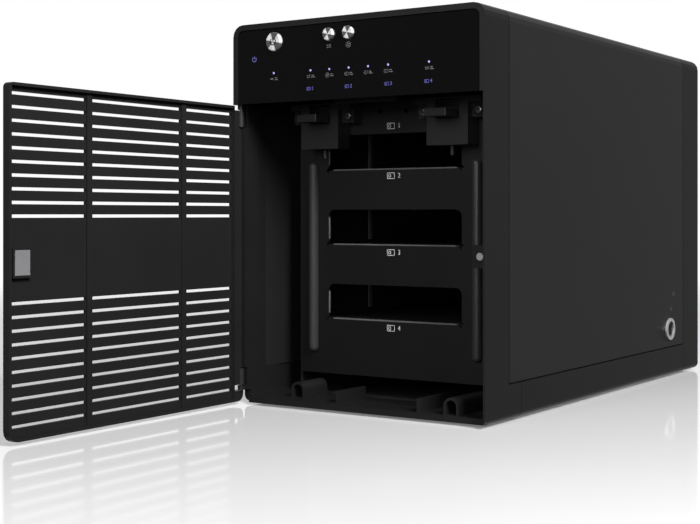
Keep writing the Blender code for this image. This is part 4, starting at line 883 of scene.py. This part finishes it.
class ENCLOSURE_OT_rear_marks(bpy.types.Operator):
    """Print the signs beside the rear sockets and the fan"""
    bl_idname = "enclosure.rear_marks"
    bl_label = "Rear marks"

    def execute(self, context):
        thick = looks().print_thick
        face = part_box("rear_panel")[1].y
        shape = bmesh.new()
        low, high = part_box("power_inlet")
        plug_mark(shape, place_on(ON_REAR, (low.x + high.x) / 2, face, high.z + 0.006), 0.006, thick)
        low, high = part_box("data_socket")
        arrows_mark(shape, place_on(ON_REAR, (low.x + high.x) / 2, face, high.z + 0.005), 0.005, thick)
        low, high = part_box("fan_guard")
        fan_mark(shape, place_on(ON_REAR, low.x - 0.004, face, low.z + 0.004), 0.005, thick)
        finish_piece("rear_prints", shape, printed_ink("rear_ink", (0.4, 0.4, 0.4)), "housing",
                     smooth=False)
        return {"FINISHED"}


class ENCLOSURE_OT_lock_marks(bpy.types.Operator):
    """Print the shut and open padlocks over the side lock"""
    bl_idname = "enclosure.lock_marks"
    bl_label = "Lock marks"

    def execute(self, context):
        thick = looks().print_thick
        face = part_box("wrap_cover")[1].x
        shape = bmesh.new()
        padlock_mark(shape, place_on(ON_RIGHT, face, 0.0828, 0.0437), 0.003, thick, False)
        padlock_mark(shape, place_on(ON_RIGHT, face, 0.0793, 0.0359), 0.0026, thick, True)
        finish_piece("lock_prints", shape, printed_ink("dim_ink", (0.05, 0.05, 0.052)),
                     "housing", smooth=False)
        return {"FINISHED"}


STEPS = (
    ENCLOSURE_OT_stage, ENCLOSURE_OT_frame_finishes, ENCLOSURE_OT_panel_marks,
    ENCLOSURE_OT_status_lamps, ENCLOSURE_OT_key_glyph, ENCLOSURE_OT_bay_labels,
    ENCLOSURE_OT_window_lips, ENCLOSURE_OT_seam_strips, ENCLOSURE_OT_latch_screws,
    ENCLOSURE_OT_cage_beads, ENCLOSURE_OT_lock_marks, ENCLOSURE_OT_rear_marks,
)


class ENCLOSURE_PT_panel(bpy.types.Panel):
    """Sizes, colours and steps of the drive enclosure"""
    bl_idname = "ENCLOSURE_PT_panel"
    bl_label = "Drive enclosure"
    bl_space_type = "VIEW_3D"
    bl_region_type = "UI"
    bl_category = "Enclosure"

    def draw(self, context):
        column = self.layout.column()
        for name in EnclosureLooks.__annotations__:
            column.prop(context.scene.enclosure_looks, name)
        for step in STEPS:
            column.operator(step.bl_idname)


def register():
    for item in (EnclosureLooks, *STEPS, ENCLOSURE_PT_panel):
        bpy.utils.register_class(item)
    bpy.types.Scene.enclosure_looks = bpy.props.PointerProperty(type=EnclosureLooks)


def unregister():
    del bpy.types.Scene.enclosure_looks
    for item in (ENCLOSURE_PT_panel, *reversed(STEPS), EnclosureLooks):
        bpy.utils.unregister_class(item)


def main():
    register()
    for step in STEPS:
        group, name = step.bl_idname.split(".")
        getattr(getattr(bpy.ops, group), name)()


if __name__ == "__main__":
    main()
